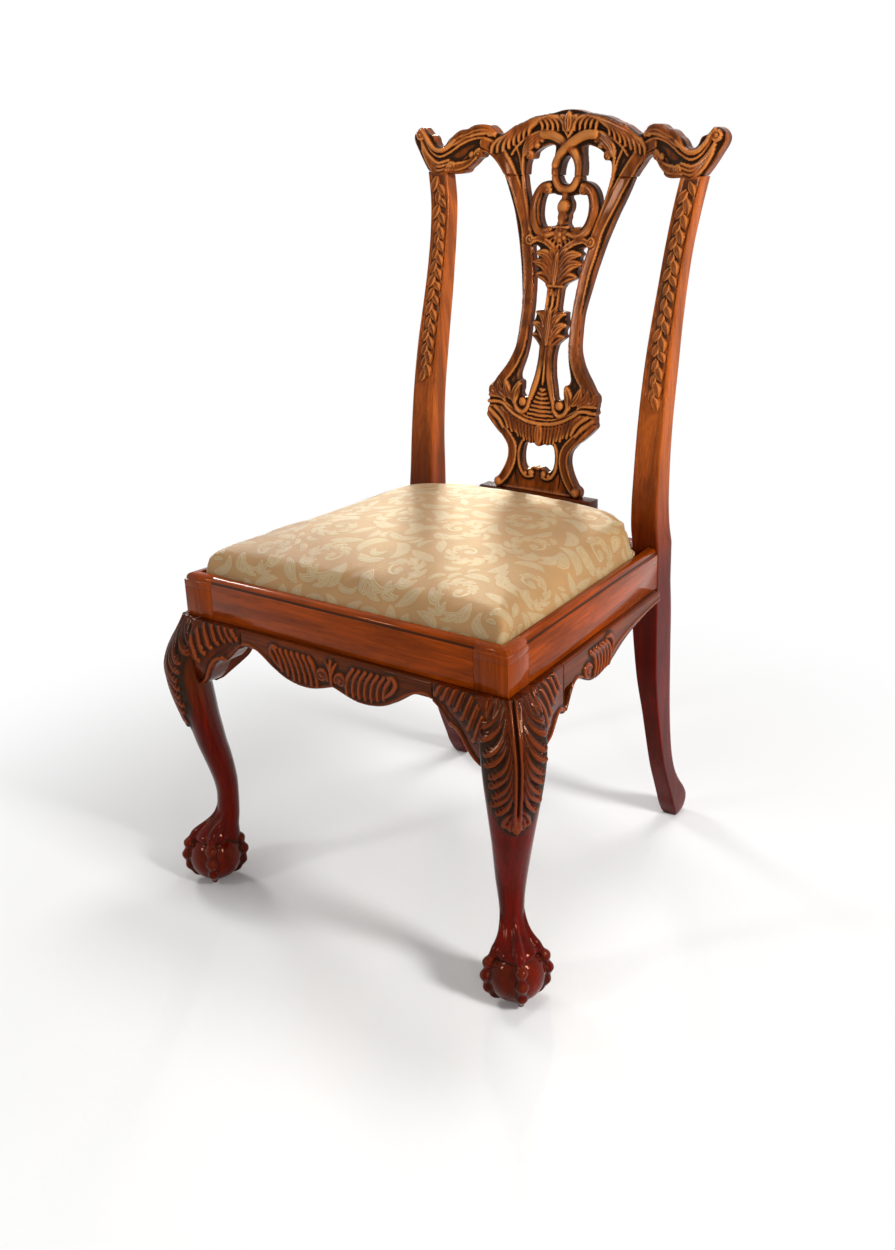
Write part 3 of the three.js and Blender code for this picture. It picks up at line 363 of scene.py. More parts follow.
class Carving:
    """A carved face seen from the front: how far each point lies inside the outline, and how high it is."""

    def __init__(self, low, high, step):
        self.step = step
        self.x = np.arange(low[0], high[0] + step, step)
        self.z = np.arange(low[1], high[1] + step, step)
        self.X, self.Z = np.meshgrid(self.x, self.z)
        self.edge = np.full(self.X.shape, -FAR)
        self.height = np.zeros(self.X.shape)

    def cover_nodes(self, names, flatten, seam=None, axis=1):
        """Takes the outline of frame nodes' front faces; flatten gives x, the depth behind it, and z."""
        net = {}
        for name in names:
            mesh = nodes[name].data
            mesh.calc_loop_triangles()
            corners = np.array([t.vertices[:] for t in mesh.loop_triangles])
            x, depth, z = flatten(points_of(nodes[name]))
            keys = np.round(np.stack([x, z], -1), 2)
            if seam is not None:
                keys[np.abs(keys[:, axis] - seam) < 0.6, axis] = seam
            for tri in corners[(np.abs(depth) < 2.5)[corners].all(1)]:
                k = [tuple(keys[v]) for v in tri]
                for a, b in ((k[0], k[1]), (k[1], k[2]), (k[2], k[0])):
                    key, way = ((a, b), 1) if a < b else ((b, a), -1)
                    net[key] = net.get(key, 0) + way
        edges = []
        for pair, way in net.items():
            if pair[0] != pair[1]:
                edges += [pair if way > 0 else pair[::-1]] * abs(way)
        segments = np.array(edges, float)
        if seam is not None:
            segments = segments[(np.abs(segments[:, :, axis] - seam) > 0.01).any(1)]
        self.cover(segments)

    def cover_shape(self, points):
        """Fills a closed outline given by its corners."""
        p = np.array(points, float)
        self.cover(np.stack([p, np.roll(p, -1, axis=0)], 1))

    def cover(self, segments):
        """Fills the outline that the segments make."""
        distance = np.full(self.X.shape, FAR)
        turns = np.zeros(self.X.shape)
        for a, b in segments:
            d = b - a
            length = d @ d
            if length < 1e-9:
                continue
            j0, j1 = np.searchsorted(self.z, [min(a[1], b[1]), max(a[1], b[1])])
            if j1 > j0:
                t = (self.z[j0:j1] - a[1]) / d[1]
                cross = a[0] + t * d[0]
                turns[j0:j1] += np.where(self.x[None, :] > cross[:, None], np.sign(d[1]), 0)
            i0, i1 = np.searchsorted(self.x, [min(a[0], b[0]) - FAR / 3, max(a[0], b[0]) + FAR / 3])
            j0, j1 = np.searchsorted(self.z, [min(a[1], b[1]) - FAR / 3, max(a[1], b[1]) + FAR / 3])
            X, Z = self.X[j0:j1, i0:i1], self.Z[j0:j1, i0:i1]
            t = np.clip(((X - a[0]) * d[0] + (Z - a[1]) * d[1]) / length, 0, 1)
            near = np.hypot(X - a[0] - t * d[0], Z - a[1] - t * d[1])
            distance[j0:j1, i0:i1] = np.minimum(distance[j0:j1, i0:i1], near)
        inside = np.abs(turns) > 0.5
        self.edge = np.maximum(self.edge, np.where(inside, distance, -distance))

    def strokes(self, path, mirror):
        """The windows, cross distances and half widths of a path's pieces, and of its mirror image's."""
        for side in (1, -1) if mirror else (1,):
            line = path * [side, 1, 1]
            run, _ = directions(line)
            for k in range(0, len(line) - 1, 30):
                part, way = line[k : k + 32], run[k : k + 32]
                reach = part[:, 2].max() + 1
                i0, i1 = np.searchsorted(self.x, [part[:, 0].min() - reach, part[:, 0].max() + reach])
                j0, j1 = np.searchsorted(self.z, [part[:, 1].min() - reach, part[:, 1].max() + reach])
                if i1 <= i0 or j1 <= j0:
                    continue
                X, Z = self.X[j0:j1, i0:i1], self.Z[j0:j1, i0:i1]
                dx, dz = X[..., None] - part[:, 0], Z[..., None] - part[:, 1]
                near = (dx**2 + dz**2).argmin(-1)[..., None]
                dx = np.take_along_axis(dx, near, -1)[..., 0]
                dz = np.take_along_axis(dz, near, -1)[..., 0]
                near = near[..., 0]
                along = np.abs(dx * way[near, 0] + dz * way[near, 1])
                across = np.abs(dx * way[near, 1] - dz * way[near, 0])
                distance = np.hypot(across, np.maximum(along - 0.6, 0))
                yield (slice(j0, j1), slice(i0, i1)), distance, np.maximum(part[near, 2], 0.2)

    def ridge(self, points, rise, lift=0.0, sharp=0.0, mirror=True, adds=True, smooth=True):
        """Raises a rounded ridge along (x, z, half width) points, as part of the outline if it adds to it."""
        path = curve(points) if smooth else np.array(points, float)
        for window, distance, width in self.strokes(path, mirror):
            ratio = np.clip(distance / width, 0, 1)
            shape = (1 - sharp) * np.sqrt(1 - ratio**2) + sharp * (1 - ratio)
            raised = np.where(ratio < 1, lift + rise * shape, -FAR)
            self.height[window] = np.maximum(self.height[window], raised)
            if adds:
                self.edge[window] = np.maximum(self.edge[window], width - distance)

    def groove(self, points, depth, mirror=True):
        """Cuts a rounded groove along (x, z, half width) points."""
        cut = np.zeros(self.X.shape)
        for window, distance, width in self.strokes(curve(points), mirror):
            ratio = np.clip(distance / width, 0, 1)
            cut[window] = np.maximum(cut[window], depth * np.sqrt(1 - ratio**2))
        self.height -= cut

    def frond(self, points, width, rise, lift=0.0, strands=3, mirror=True, adds=True):
        """A leaf of ridges side by side, which spread from its root and end one behind the other."""
        path = curve(points)[:, :2]
        _, normal = directions(path)
        t = np.linspace(0, 1, len(path))
        spread = np.sin(np.pi * (0.1 + 0.9 * t)) ** 0.75
        middle = (strands - 1) / 2
        for k in sorted(range(strands), key=lambda k: -abs(k - middle)):
            off = (k - middle) / max(middle, 0.5) * width * 0.62
            half = width / strands * (0.3 + 0.85 * spread)
            line = np.column_stack([path + normal * (off * spread)[:, None], half])
            end = max(3, int(len(line) * (1 - 0.06 * abs(k - middle))))
            self.ridge(line[:end], rise * (1 - 0.14 * abs(k - middle)), lift, 0.35, mirror, adds,
                       smooth=False)

    def button(self, x, z, radius, rise, lift=0.0, mirror=True, adds=True):
        """A round boss."""
        for side in (1, -1) if mirror and x else (1,):
            distance = np.hypot(self.X - side * x, self.Z - z)
            shape = np.sqrt(np.clip(1 - (distance / radius) ** 2, 0, 1))
            self.height = np.where(distance < radius, np.maximum(self.height, lift + rise * shape),
                                   self.height)
            if adds:
                self.edge = np.maximum(self.edge, radius - distance)

    def band(self, points, lift, bead=1.6, mirror=True, rise=0.9):
        """A flat band along (x, z, half width) points, with a bead along each edge."""
        path = curve(points)
        for window, distance, width in self.strokes(path, mirror):
            self.height[window] = np.maximum(self.height[window], np.where(distance < width, lift, -FAR))
            self.edge[window] = np.maximum(self.edge[window], width - distance)
        _, normal = directions(path)
        for side in (1, -1):
            line = path[:, :2] + side * normal * (path[:, 2:] - bead)
            self.ridge(np.column_stack([line, np.full(len(path), bead)]), bead * rise, lift, 0, mirror,
                       smooth=False)

    def volute(self, x, z, radius, width, rise, lift=1.0, turn=1, start=0, mirror=True):
        """A scroll of one and a half turns that ends in a button; it winds with turn from the start angle."""
        t = np.linspace(0, 1, 40)
        angle = math.radians(start) + turn * t * 3 * math.pi
        reach = radius * (1 - 0.72 * t)
        line = [x + reach * np.cos(angle), z + reach * np.sin(angle), width * (1 - 0.35 * t)]
        self.ridge(np.stack(line, -1), rise, lift, mirror=mirror, smooth=False)
        self.button(x, z, radius * 0.36, rise * 1.3, lift, mirror)

    def sink(self, depth):
        """Lowers the ground that no stroke has raised."""
        self.height = np.where(self.height <= 0, self.height - depth * np.clip((self.edge - 1.5) / 2, 0, 1),
                               self.height)

    def sample(self, values, x, z):
        """Values of the grid at free points."""
        i = np.clip((x - self.x[0]) / self.step, 0, len(self.x) - 1.001)
        j = np.clip((z - self.z[0]) / self.step, 0, len(self.z) - 1.001)
        i0, j0 = i.astype(int), j.astype(int)
        fi, fj = i - i0, j - j0
        low = values[j0, i0] * (1 - fi) + values[j0, i0 + 1] * fi
        high = values[j0 + 1, i0] * (1 - fi) + values[j0 + 1, i0 + 1] * fi
        return low * (1 - fj) + high * fj

    def tone(self, spread=3.0):
        """How hollow each point is beside its surroundings, from -1 on a ridge to 1 in a recess; the wood
        paints it as shade in the recesses and as highlight on the ridges.
        """
        inside = (self.edge > 0).astype(float)
        tone = 0
        # the wider reach darkens broad recesses the way ambient occlusion would, as painted shade
        for reach, depth, share in ((spread, 1.1, 0.75), (spread * 2.6, 2.4, 0.5)):
            radius = max(1, int(reach / self.step))
            around = blurred(self.height * inside, radius) / np.maximum(blurred(inside, radius), 0.05)
            tone = tone + share * (around - self.height) / depth
        return np.clip(tone, -1, 1)

    def solid(self, name, place, thickness, rim=2.0, keep=None, scoop=0.0, wall_shade=0.12):
        """The carved face as a closed plate, put in place by a function of x, depth and z."""
        edge = blurred(self.edge, 1) if min(self.edge.shape) > 8 else self.edge
        if keep is not None:
            edge = np.minimum(edge, keep)
        height = blurred(self.height, 1) * 0.5 + self.height * 0.5
        cell = (edge[:-1, :-1] + edge[1:, :-1] + edge[:-1, 1:] + edge[1:, 1:]) / 4 > 0
        for _ in range(3):
            a, b, c, d = cell[:-1, :-1], cell[:-1, 1:], cell[1:, :-1], cell[1:, 1:]
            cell[:-1, 1:] |= a & d & ~b & ~c
            cell[:-1, :-1] |= b & c & ~a & ~d
        wide = np.pad(cell, 1)
        around = np.stack([wide[:-1, :-1], wide[1:, :-1], wide[:-1, 1:], wide[1:, 1:]])
        used, border = around.any(0), around.any(0) & ~around.all(0)
        gz, gx = np.gradient(edge, self.step)
        slope = np.maximum(gx**2 + gz**2, 0.2)
        limit = 0.75 * self.step
        X = self.X - np.where(border, np.clip(edge * gx / slope, -limit, limit), 0)
        Z = self.Z - np.where(border, np.clip(edge * gz / slope, -limit, limit), 0)
        inner = np.clip(np.where(border, 0, edge), 0, rim)
        fall = rim - np.sqrt(rim**2 - (rim - inner) ** 2)
        front = place(X[used], (fall - height)[used], Z[used])
        near = 1 - np.clip(np.where(border, 0, edge) / max(2 * scoop, 1), 0, 1)
        thin = thickness - scoop * (1 - np.sqrt(1 - near**2))
        back = place(X[used], thin[used], Z[used])
        index = np.full(used.shape, -1)
        index[used] = np.arange(used.sum())
        n = used.sum()
        j, i = np.nonzero(cell)
        p, q, r, s = index[j, i], index[j, i + 1], index[j + 1, i + 1], index[j + 1, i]
        faces = [np.stack([p, q, r, s], -1), np.stack([s, r, q, p], -1) + n]
        arrises = []
        rim_index = np.full(n, -1)
        rim_index[border[used]] = 2 * n + np.arange((border & used).sum())
        for dj, di, a, b in ((-1, 0, p, q), (0, 1, q, r), (1, 0, r, s), (0, -1, s, p)):
            open_side = ~wide[j + 1 + dj, i + 1 + di]
            a, b = a[open_side], b[open_side]
            faces += [np.stack([b, a, rim_index[a], rim_index[b]], -1),
                      np.stack([rim_index[b], rim_index[a], a + n, b + n], -1)]
            arrises += [np.stack([a, b], -1), np.stack([a, b], -1) + n]
        # tone paints shade in the recesses and highlight on the ridges; every point of the cut sides gets
        # wall_shade, a painted shade
        tone = self.tone()[used]
        edging = border & used
        below = place(X[edging], (fall - height)[edging] + 0.7, Z[edging])
        points = np.vstack([front, back, below])
        tones = np.concatenate([tone, np.full(n + edging.sum(), wall_shade)])
        piece = new_piece(name, points, np.vstack(faces), tones)
        mark_sharp(piece, np.vstack(arrises))
        return piece


# Materials


def wire(tree, node, inputs):
    """Gives a node its inputs, which are values or sockets."""
    for key, value in inputs.items():
        if isinstance(value, bpy.types.NodeSocket):
            tree.links.new(value, node.inputs[key])
        else:
            node.inputs[key].default_value = value


def add(tree, kind, inputs=None, **settings):
    """A node with its settings and inputs, which may be sockets."""
    made = tree.nodes.new(kind)
    for key, value in settings.items():
        setattr(made, key, value)
    wire(tree, made, inputs or {})
    return made


def mixed(tree, factor, a, b, kind="MIX"):
    """The colour between two."""
    inputs = {0: factor, 6: a, 7: b}
    return add(tree, "ShaderNodeMix", inputs, data_type="RGBA", blend_type=kind).outputs[2]


def remapped(tree, value, low, high, to_low=0.0, to_high=1.0, smooth=False):
    """A value's range mapped to another."""
    inputs = {0: value, 1: low, 2: high, 3: to_low, 4: to_high}
    kind = "SMOOTHSTEP" if smooth else "LINEAR"
    return add(tree, "ShaderNodeMapRange", inputs, interpolation_type=kind).outputs[0]


def sums(tree, kind, a, b):
    """The result of a sum with two values."""
    return add(tree, "ShaderNodeMath", {0: a, 1: b}, operation=kind).outputs[0]


def grey(tree, value):
    """A value as a grey colour."""
    return add(tree, "ShaderNodeCombineColor", {0: value, 1: value, 2: value}).outputs[0]


def bumpy(tree, height, strength, distance):
    """The normal of a surface with a relief."""
    inputs = {"Height": height, "Strength": strength, "Distance": distance}
    return add(tree, "ShaderNodeBump", inputs).outputs[0]


def cloudy(tree, place, scale, detail=4.0, rough=0.55, distortion=0.0, stretch=None):
    """Noise at a scale per metre, stretched along the axes of the place."""
    if stretch:
        place = add(tree, "ShaderNodeVectorMath", {0: place, 1: stretch}, operation="MULTIPLY").outputs[0]
    inputs = {"Vector": place, "Scale": scale, "Detail": detail, "Roughness": rough, "Distortion": distortion}
    return add(tree, "ShaderNodeTexNoise", inputs).outputs[0]


def new_group(name, wants, gives, kind="ShaderNodeTree"):
    """A node group with named inputs and outputs."""
    group = bpy.data.node_groups.new(name, kind)
    for title, socket_kind, default in wants:
        socket = group.interface.new_socket(title, in_out="INPUT", socket_type="NodeSocket" + socket_kind)
        if default is not None:
            socket.default_value = default
    for title, socket_kind in gives:
        group.interface.new_socket(title, in_out="OUTPUT", socket_type="NodeSocket" + socket_kind)
    start = group.nodes.new("NodeGroupInput")
    end = group.nodes.new("NodeGroupOutput")
    return group, start.outputs, end.inputs


def new_material(name):
    """A material with its node tree, its shader and the place on the object."""
    material = bpy.data.materials.new(name)
    material.use_nodes = True
    tree = material.node_tree
    place = add(tree, "ShaderNodeTexCoord").outputs["Object"]
    return material, tree, tree.nodes["Principled BSDF"], place


def solid_colour(value):
    """A colour with its alpha."""
    return (*value[:3], 1.0)


def tinted(colour, share):
    """A colour times a share, or times one for each of red, green and blue."""
    shares = share if isinstance(share, tuple) else (share,) * 3
    return [c * s for c, s in zip(colour, shares)]


def wood_group():
    """Figure and pores of polished mahogany, painted shade in its recesses, and a worn finish with painted
    highlight on its ridges; X of the place runs along the grain.
    """
    wants = [
        ("Place", "Vector", None),
        ("Pale", "Color", (0.4, 0.1, 0.03, 1)),
        ("Deep", "Color", (0.1, 0.02, 0.01, 1)),
        ("Glaze", "Color", (0.01, 0.006, 0.004, 1)),
        ("Rubbed", "Color", (0.5, 0.2, 0.06, 1)),
        ("Hollow", "Float", 0.0),
        ("Glazing", "Float", 1.0),
        ("Wear", "Float", 0.5),
    ]
    gives = [("Colour", "Color"), ("Roughness", "Float"), ("Height", "Float")]
    group, have, put = new_group("Polished mahogany", wants, gives)
    place = have["Place"]
    figure = cloudy(group, place, 1.0, 5, 0.6, 0.8, (5, 42, 42))
    fine = cloudy(group, place, 1.0, 4, 0.6, 0.2, (14, 330, 330))
    pores = cloudy(group, place, 1.0, 2, 0.5, 0, (55, 900, 900))
    blotch = cloudy(group, place, 6.0, 3, 0.5)
    streak = remapped(group, figure, 0.33, 0.68, smooth=True)
    colour = mixed(group, streak, have["Deep"], have["Pale"])
    shade = remapped(group, fine, 0.3, 0.7, 0.72, 1.22)
    shade = sums(group, "ADD", shade, remapped(group, blotch, 0.3, 0.7, -0.14, 0.12))
    shade = sums(group, "MULTIPLY", shade, remapped(group, pores, 0.28, 0.42, 0.72, 1.0))
    colour = mixed(group, 1.0, colour, grey(group, shade), "MULTIPLY")
    # Worn finish and painted highlight: the ridges that the hollow attribute marks turn towards the worn and
    # highlit colour
    worn_and_highlit = remapped(group, have["Hollow"], -0.25, -1.0, smooth=True)
    colour = mixed(group, sums(group, "MULTIPLY", worn_and_highlit, have["Wear"]), colour, have["Rubbed"])
    # Painted shade: the recesses that the hollow attribute marks turn towards the painted shade colour, and
    # grow rougher
    uneven = sums(group, "ADD", have["Hollow"], remapped(group, blotch, 0.3, 0.7, -0.1, 0.1))
    dark = remapped(group, uneven, 0.05, 0.75, 0, 0.9, smooth=True)
    dark = sums(group, "MULTIPLY", dark, have["Glazing"])
    rough = remapped(group, figure, 0.3, 0.7, 0.1, 0.15)
    rough = sums(group, "ADD", rough, sums(group, "MULTIPLY", dark, 0.35))
    height = sums(group, "ADD", sums(group, "MULTIPLY", fine, 0.5), sums(group, "MULTIPLY", pores, 0.5))
    group.links.new(mixed(group, dark, colour, have["Glaze"]), put["Colour"])
    group.links.new(rough, put["Roughness"])
    group.links.new(height, put["Height"])


def wood(name, pale, deep, finishes, along=(0, 0, 1), painted_shade_strength=1.0, wear_and_highlight=0.5, turn=0.0, foot=None,
         worn_and_highlit=None):
    """Polished mahogany with its grain along a direction, and another colour below the foot's two heights."""
    material, tree, shader, place = new_material(name)
    turned = Vector(along).to_track_quat("X", "Z").to_matrix().transposed().to_euler()
    mapping = {"Vector": place, "Rotation": turned, "Location": (turn, turn * 1.7, turn * 0.6)}
    inputs = {
        "Place": add(tree, "ShaderNodeMapping", mapping).outputs[0],
        "Pale": solid_colour(pale),
        "Deep": solid_colour(deep),
        # painted shade for the recesses, and the worn and highlit colour for the ridges
        "Glaze": solid_colour(finishes.painted_shade),
        "Rubbed": solid_colour(worn_and_highlit or [min(1, c * 1.6 + 0.008) for c in pale]),
        "Hollow": add(tree, "ShaderNodeAttribute", attribute_name="hollow").outputs["Fac"],
        "Glazing": painted_shade_strength,
        "Wear": wear_and_highlight,
    }
    if foot:
        low, high, colour = foot
        raised = add(tree, "ShaderNodeSeparateXYZ", {0: place}).outputs[2]
        share = remapped(tree, raised, low * mm, high * mm, smooth=True)
        inputs["Pale"] = mixed(tree, share, solid_colour(colour), inputs["Pale"])
        inputs["Deep"] = mixed(tree, share, solid_colour(tinted(colour, 0.5)), inputs["Deep"])
    group = bpy.data.node_groups["Polished mahogany"]
    figure = add(tree, "ShaderNodeGroup", node_tree=group)
    wire(tree, figure, inputs)
    wire(tree, shader, {
        "Base Color": figure.outputs["Colour"],
        "Roughness": figure.outputs["Roughness"],
        "Normal": bumpy(tree, figure.outputs["Height"], 0.12, 0.0004),
        "Specular IOR Level": 0.17,
        "Specular Tint": (1.0, 0.52, 0.32, 1),
    })
    return material


def weave_group():
    """Threads of a plain weave, crossing along X and Y of the place."""
    wants = [("Place", "Vector", None), ("Threads", "Float", 900.0), ("Unevenness", "Float", 0.5)]
    group, have, put = new_group("Plain weave", wants, [("Height", "Float"), ("Shade", "Float")])
    split = add(group, "ShaderNodeSeparateXYZ", {0: have["Place"]}).outputs
    drift = cloudy(group, have["Place"], 60, 2)
    drift = sums(group, "MULTIPLY", drift, sums(group, "MULTIPLY", have["Unevenness"], 6))
    pitch = sums(group, "MULTIPLY", have["Threads"], 2 * math.pi)
    waves = []
    for axis in (0, 1):
        angle = sums(group, "ADD", sums(group, "MULTIPLY", split[axis], pitch), drift)
        waves.append(add(group, "ShaderNodeMath", {0: angle}, operation="SINE").outputs[0])
    height = sums(group, "MULTIPLY", waves[0], waves[1])
    height = sums(group, "ADD", height, sums(group, "MULTIPLY", waves[0], 0.4))
    group.links.new(height, put["Height"])
    group.links.new(remapped(group, height, -1.2, 1.2, 0.86, 1.08), put["Shade"])


def cloth(name, ground, figure=None, threads=900.0, rough=0.75, sheen=0.0, bump=0.3):
    """Woven cloth, with a second colour where the figure attribute says."""
    material, tree, shader, place = new_material(name)
    group = bpy.data.node_groups["Plain weave"]
    weave = add(tree, "ShaderNodeGroup", node_tree=group)
    wire(tree, weave, {"Place": place, "Threads": threads})
    uneven = remapped(tree, cloudy(tree, place, 24, 3), 0.3, 0.7, 0.9, 1.06)
    tone = grey(tree, sums(tree, "MULTIPLY", weave.outputs["Shade"], uneven))
    colour, roughness, height = solid_colour(ground), rough, weave.outputs["Height"]
    if figure:
        inside = add(tree, "ShaderNodeAttribute", attribute_name="figure").outputs["Fac"]
        wave = sums(tree, "MULTIPLY", inside, 2 * math.pi / 2.7)
        wave = add(tree, "ShaderNodeMath", {0: wave}, operation="SINE").outputs[0]
        mask = remapped(tree, inside, -0.3, 0.5, smooth=True)
        mask = sums(tree, "MULTIPLY", mask, remapped(tree, wave, -1, 1, 0.3, 1))
        colour = mixed(tree, mask, colour, solid_colour(figure))
        roughness = remapped(tree, mask, 0, 1, rough, rough * 0.62)
        height = sums(tree, "ADD", height, sums(tree, "MULTIPLY", mask, 2.2))
    wire(tree, shader, {
        "Base Color": mixed(tree, 1.0, colour, tone, "MULTIPLY"),
        "Roughness": roughness,
        "Normal": bumpy(tree, height, bump, 0.0003),
        "Sheen Weight": sheen,
        "Specular IOR Level": 0.3 if figure else 0.1,
    })
    return material


def steel(name):
    """Zinc-plated screws and tacks, dulled unevenly."""
    material, tree, shader, place = new_material(name)
    dull = cloudy(tree, place, 240, 4)
    share = remapped(tree, dull, 0.35, 0.7)
    wire(tree, shader, {
        "Base Color": mixed(tree, share, (0.42, 0.4, 0.36, 1), (0.6, 0.58, 0.52, 1)),
        "Roughness": remapped(tree, dull, 0.3, 0.7, 0.25, 0.5),
        "Metallic": 1.0,
    })
    return material


def raw_wood(name, along):
    """Unpolished beech of the parts that aren't seen from above."""
    finishes = bpy.context.scene.chair_finishes
    material = wood(name, (0.5, 0.33, 0.17), (0.36, 0.22, 0.1), finishes, along, 0.0, 0.0)
    shader = material.node_tree.nodes["Principled BSDF"]
    material.node_tree.links.remove(shader.inputs["Roughness"].links[0])
    plain = {"Roughness": 0.68, "Specular IOR Level": 0.25, "Specular Tint": (1, 1, 1, 1)}
    wire(material.node_tree, shader, plain)
    return material


# Small pieces along a line


def strung_group():
    """Geometry nodes that string a small piece along the lines of a mesh."""
    wants = [
        ("Geometry", "Geometry", None),
        ("Piece", "Object", None),
        ("Spacing", "Float", 0.01),
        ("Follow", "Float", 1.0),
        ("Axis", "Vector", (0, 1, 0)),
        ("Splay", "Float", 0.0),
        ("Unevenness", "Float", 0.2),
        ("Smallest", "Float", 0.85),
        ("Largest", "Float", 1.15),
        ("Seed", "Int", 3),
        ("Material", "Material", None),
    ]
    group, have, put = new_group("Pieces along a line", wants, [("Geometry", "Geometry")], "GeometryNodeTree")

    def made(kind, inputs=None, output=0, **settings):
        return add(group, kind, inputs, **settings).outputs[output]

    line = made("GeometryNodeMeshToCurve", {"Mesh": have["Geometry"]})
    line = made("GeometryNodeResampleCurve", {"Curve": line, "Length": have["Spacing"]}, mode="LENGTH")
    piece = made("GeometryNodeObjectInfo", {"Object": have["Piece"]}, "Geometry")
    way = made("GeometryNodeInputTangent")
    upward = made("ShaderNodeMath", {0: made("ShaderNodeSeparateXYZ", {0: way}, 2)}, operation="SIGN")
    way = made("ShaderNodeVectorMath", {0: way, "Scale": upward}, operation="SCALE")
    turn = made("FunctionNodeAlignRotationToVector", {"Factor": have["Follow"], "Vector": way}, axis="Z")
    side = made("ShaderNodeMath", {0: made("GeometryNodeInputIndex"), 1: 2.0}, operation="FLOORED_MODULO")
    side = sums(group, "SUBTRACT", sums(group, "MULTIPLY", side, 2.0), 1.0)
    loose = {"Min": -0.5, "Max": 0.5, "Seed": have["Seed"]}
    loose = made("FunctionNodeRandomValue", loose, 1, data_type="FLOAT")
    angle = sums(group, "MULTIPLY", loose, have["Unevenness"])
    angle = sums(group, "ADD", angle, sums(group, "MULTIPLY", side, have["Splay"]))
    splayed = made("FunctionNodeAxisAngleToRotation", {"Axis": have["Axis"], "Angle": angle})
    turn = made("FunctionNodeRotateRotation", {0: turn, 1: splayed}, rotation_space="LOCAL")
    size = {"Min": have["Smallest"], "Max": have["Largest"], "Seed": have["Seed"]}
    size = made("FunctionNodeRandomValue", size, 1, data_type="FLOAT")
    placed = {"Points": line, "Instance": piece, "Rotation": turn, "Scale": size}
    whole = made("GeometryNodeRealizeInstances", {0: made("GeometryNodeInstanceOnPoints", placed)})
    painted = made("GeometryNodeSetMaterial", {"Geometry": whole, "Material": have["Material"]})
    group.links.new(painted, put["Geometry"])


def strung(name, lines, values):
    """A plain mesh of a small piece strung along lines of points."""
    points, edges = [], []
    for line in lines:
        edges += [(len(points) + k, len(points) + k + 1) for k in range(len(line) - 1)]
        points += list(line)
    mesh = bpy.data.meshes.new(name)
    mesh.from_pydata([tuple((np.array(p) + [0, front_face, 0]) * mm) for p in points], edges, [])
    piece = linked(name, mesh)
    group = bpy.data.node_groups["Pieces along a line"]
    modifier = piece.modifiers.new("Strung", "NODES")
    modifier.node_group = group
    for socket in group.interface.items_tree:
        if socket.in_out == "INPUT" and socket.name in values:
            modifier[socket.identifier] = values[socket.name]
    rebuilt(piece)
    bpy.data.objects.remove(values["Piece"])
    return piece


def leaf_piece(long, wide, high):
    """A small carved leaf that hangs from its stalk, with two lobes and a creased middle."""
    rings, tone = [], []
    for t in np.linspace(0, 1, 7):
        belly = math.sin(math.pi * min(1, 0.12 + 0.88 * t)) ** 0.6
        half = wide * belly * (1 - 0.16 * math.cos(7 * t)) + 0.25
        rise = high * math.sin(math.pi * min(1, 0.15 + 0.8 * t)) ** 0.5
        swerve = 0.24 * wide * math.sin(2.4 * t)
        section = ((-1, 0.5), (-0.6, -rise), (0, -0.45 * rise), (0.6, -rise), (1, 0.5), (0, 0.9))
        rings.append(np.array([(x * half + swerve, y, -long * t) for x, y in section]) * mm)
        # painted shade at the leaf's edges, middle crease and underside, painted highlight on its two lobes
        tone += [0.5, -1, 0.5, -1, 0.5, 0.5]
    points, faces = loft(rings)
    return new_source("leaf", points, faces, tone + [0, 0])


def berry_piece(radius):
    """A half-round berry."""
    rings, tone = [], []
    angle = turns(8)
    for t in (0, 30, 60):
        reach, rise = radius * math.cos(math.radians(t)), radius * math.sin(math.radians(t))
        rings.append(np.stack([reach * np.sin(angle), np.full(8, 0.4 - rise), reach * np.cos(angle)],
                              -1) * mm)
        # painted shade at the berry's foot, turning to painted highlight at its top
        tone += [0.8 - t / 50] * 8
    points, faces = loft(rings)
    return new_source("berry", points, faces, tone + [0, -0.8])


def tack_piece(radius):
    """A tack's domed head, seen from below."""
    rings = []
    angle = turns(10)
    for share, z in ((0.35, -1.7), (0.7, -1.3), (0.97, -0.6), (1, 0), (0.3, 1.2)):
        reach = radius * share
        rings.append(np.stack([reach * np.cos(angle), reach * np.sin(angle), np.full(10, z)], -1) * mm)
    points, faces = loft(rings)
    return new_source("tack", points, faces, [0] * len(points))


def new_source(name, points, faces, tone):
    """A small mesh in metres for the geometry nodes, with its tones of painted shade and highlight."""
    mesh = bpy.data.meshes.new(name)
    mesh.from_pydata([tuple(p) for p in points], [], [list(face) for face in faces])
    smoothed(mesh)
    record(mesh, "hollow", tone)
    return bpy.data.objects.new(name, mesh)


# The carved back


def crest_line(x):
    """The height of the crest rail's arch."""
    return 1010.5 - 0.0021 * x * x


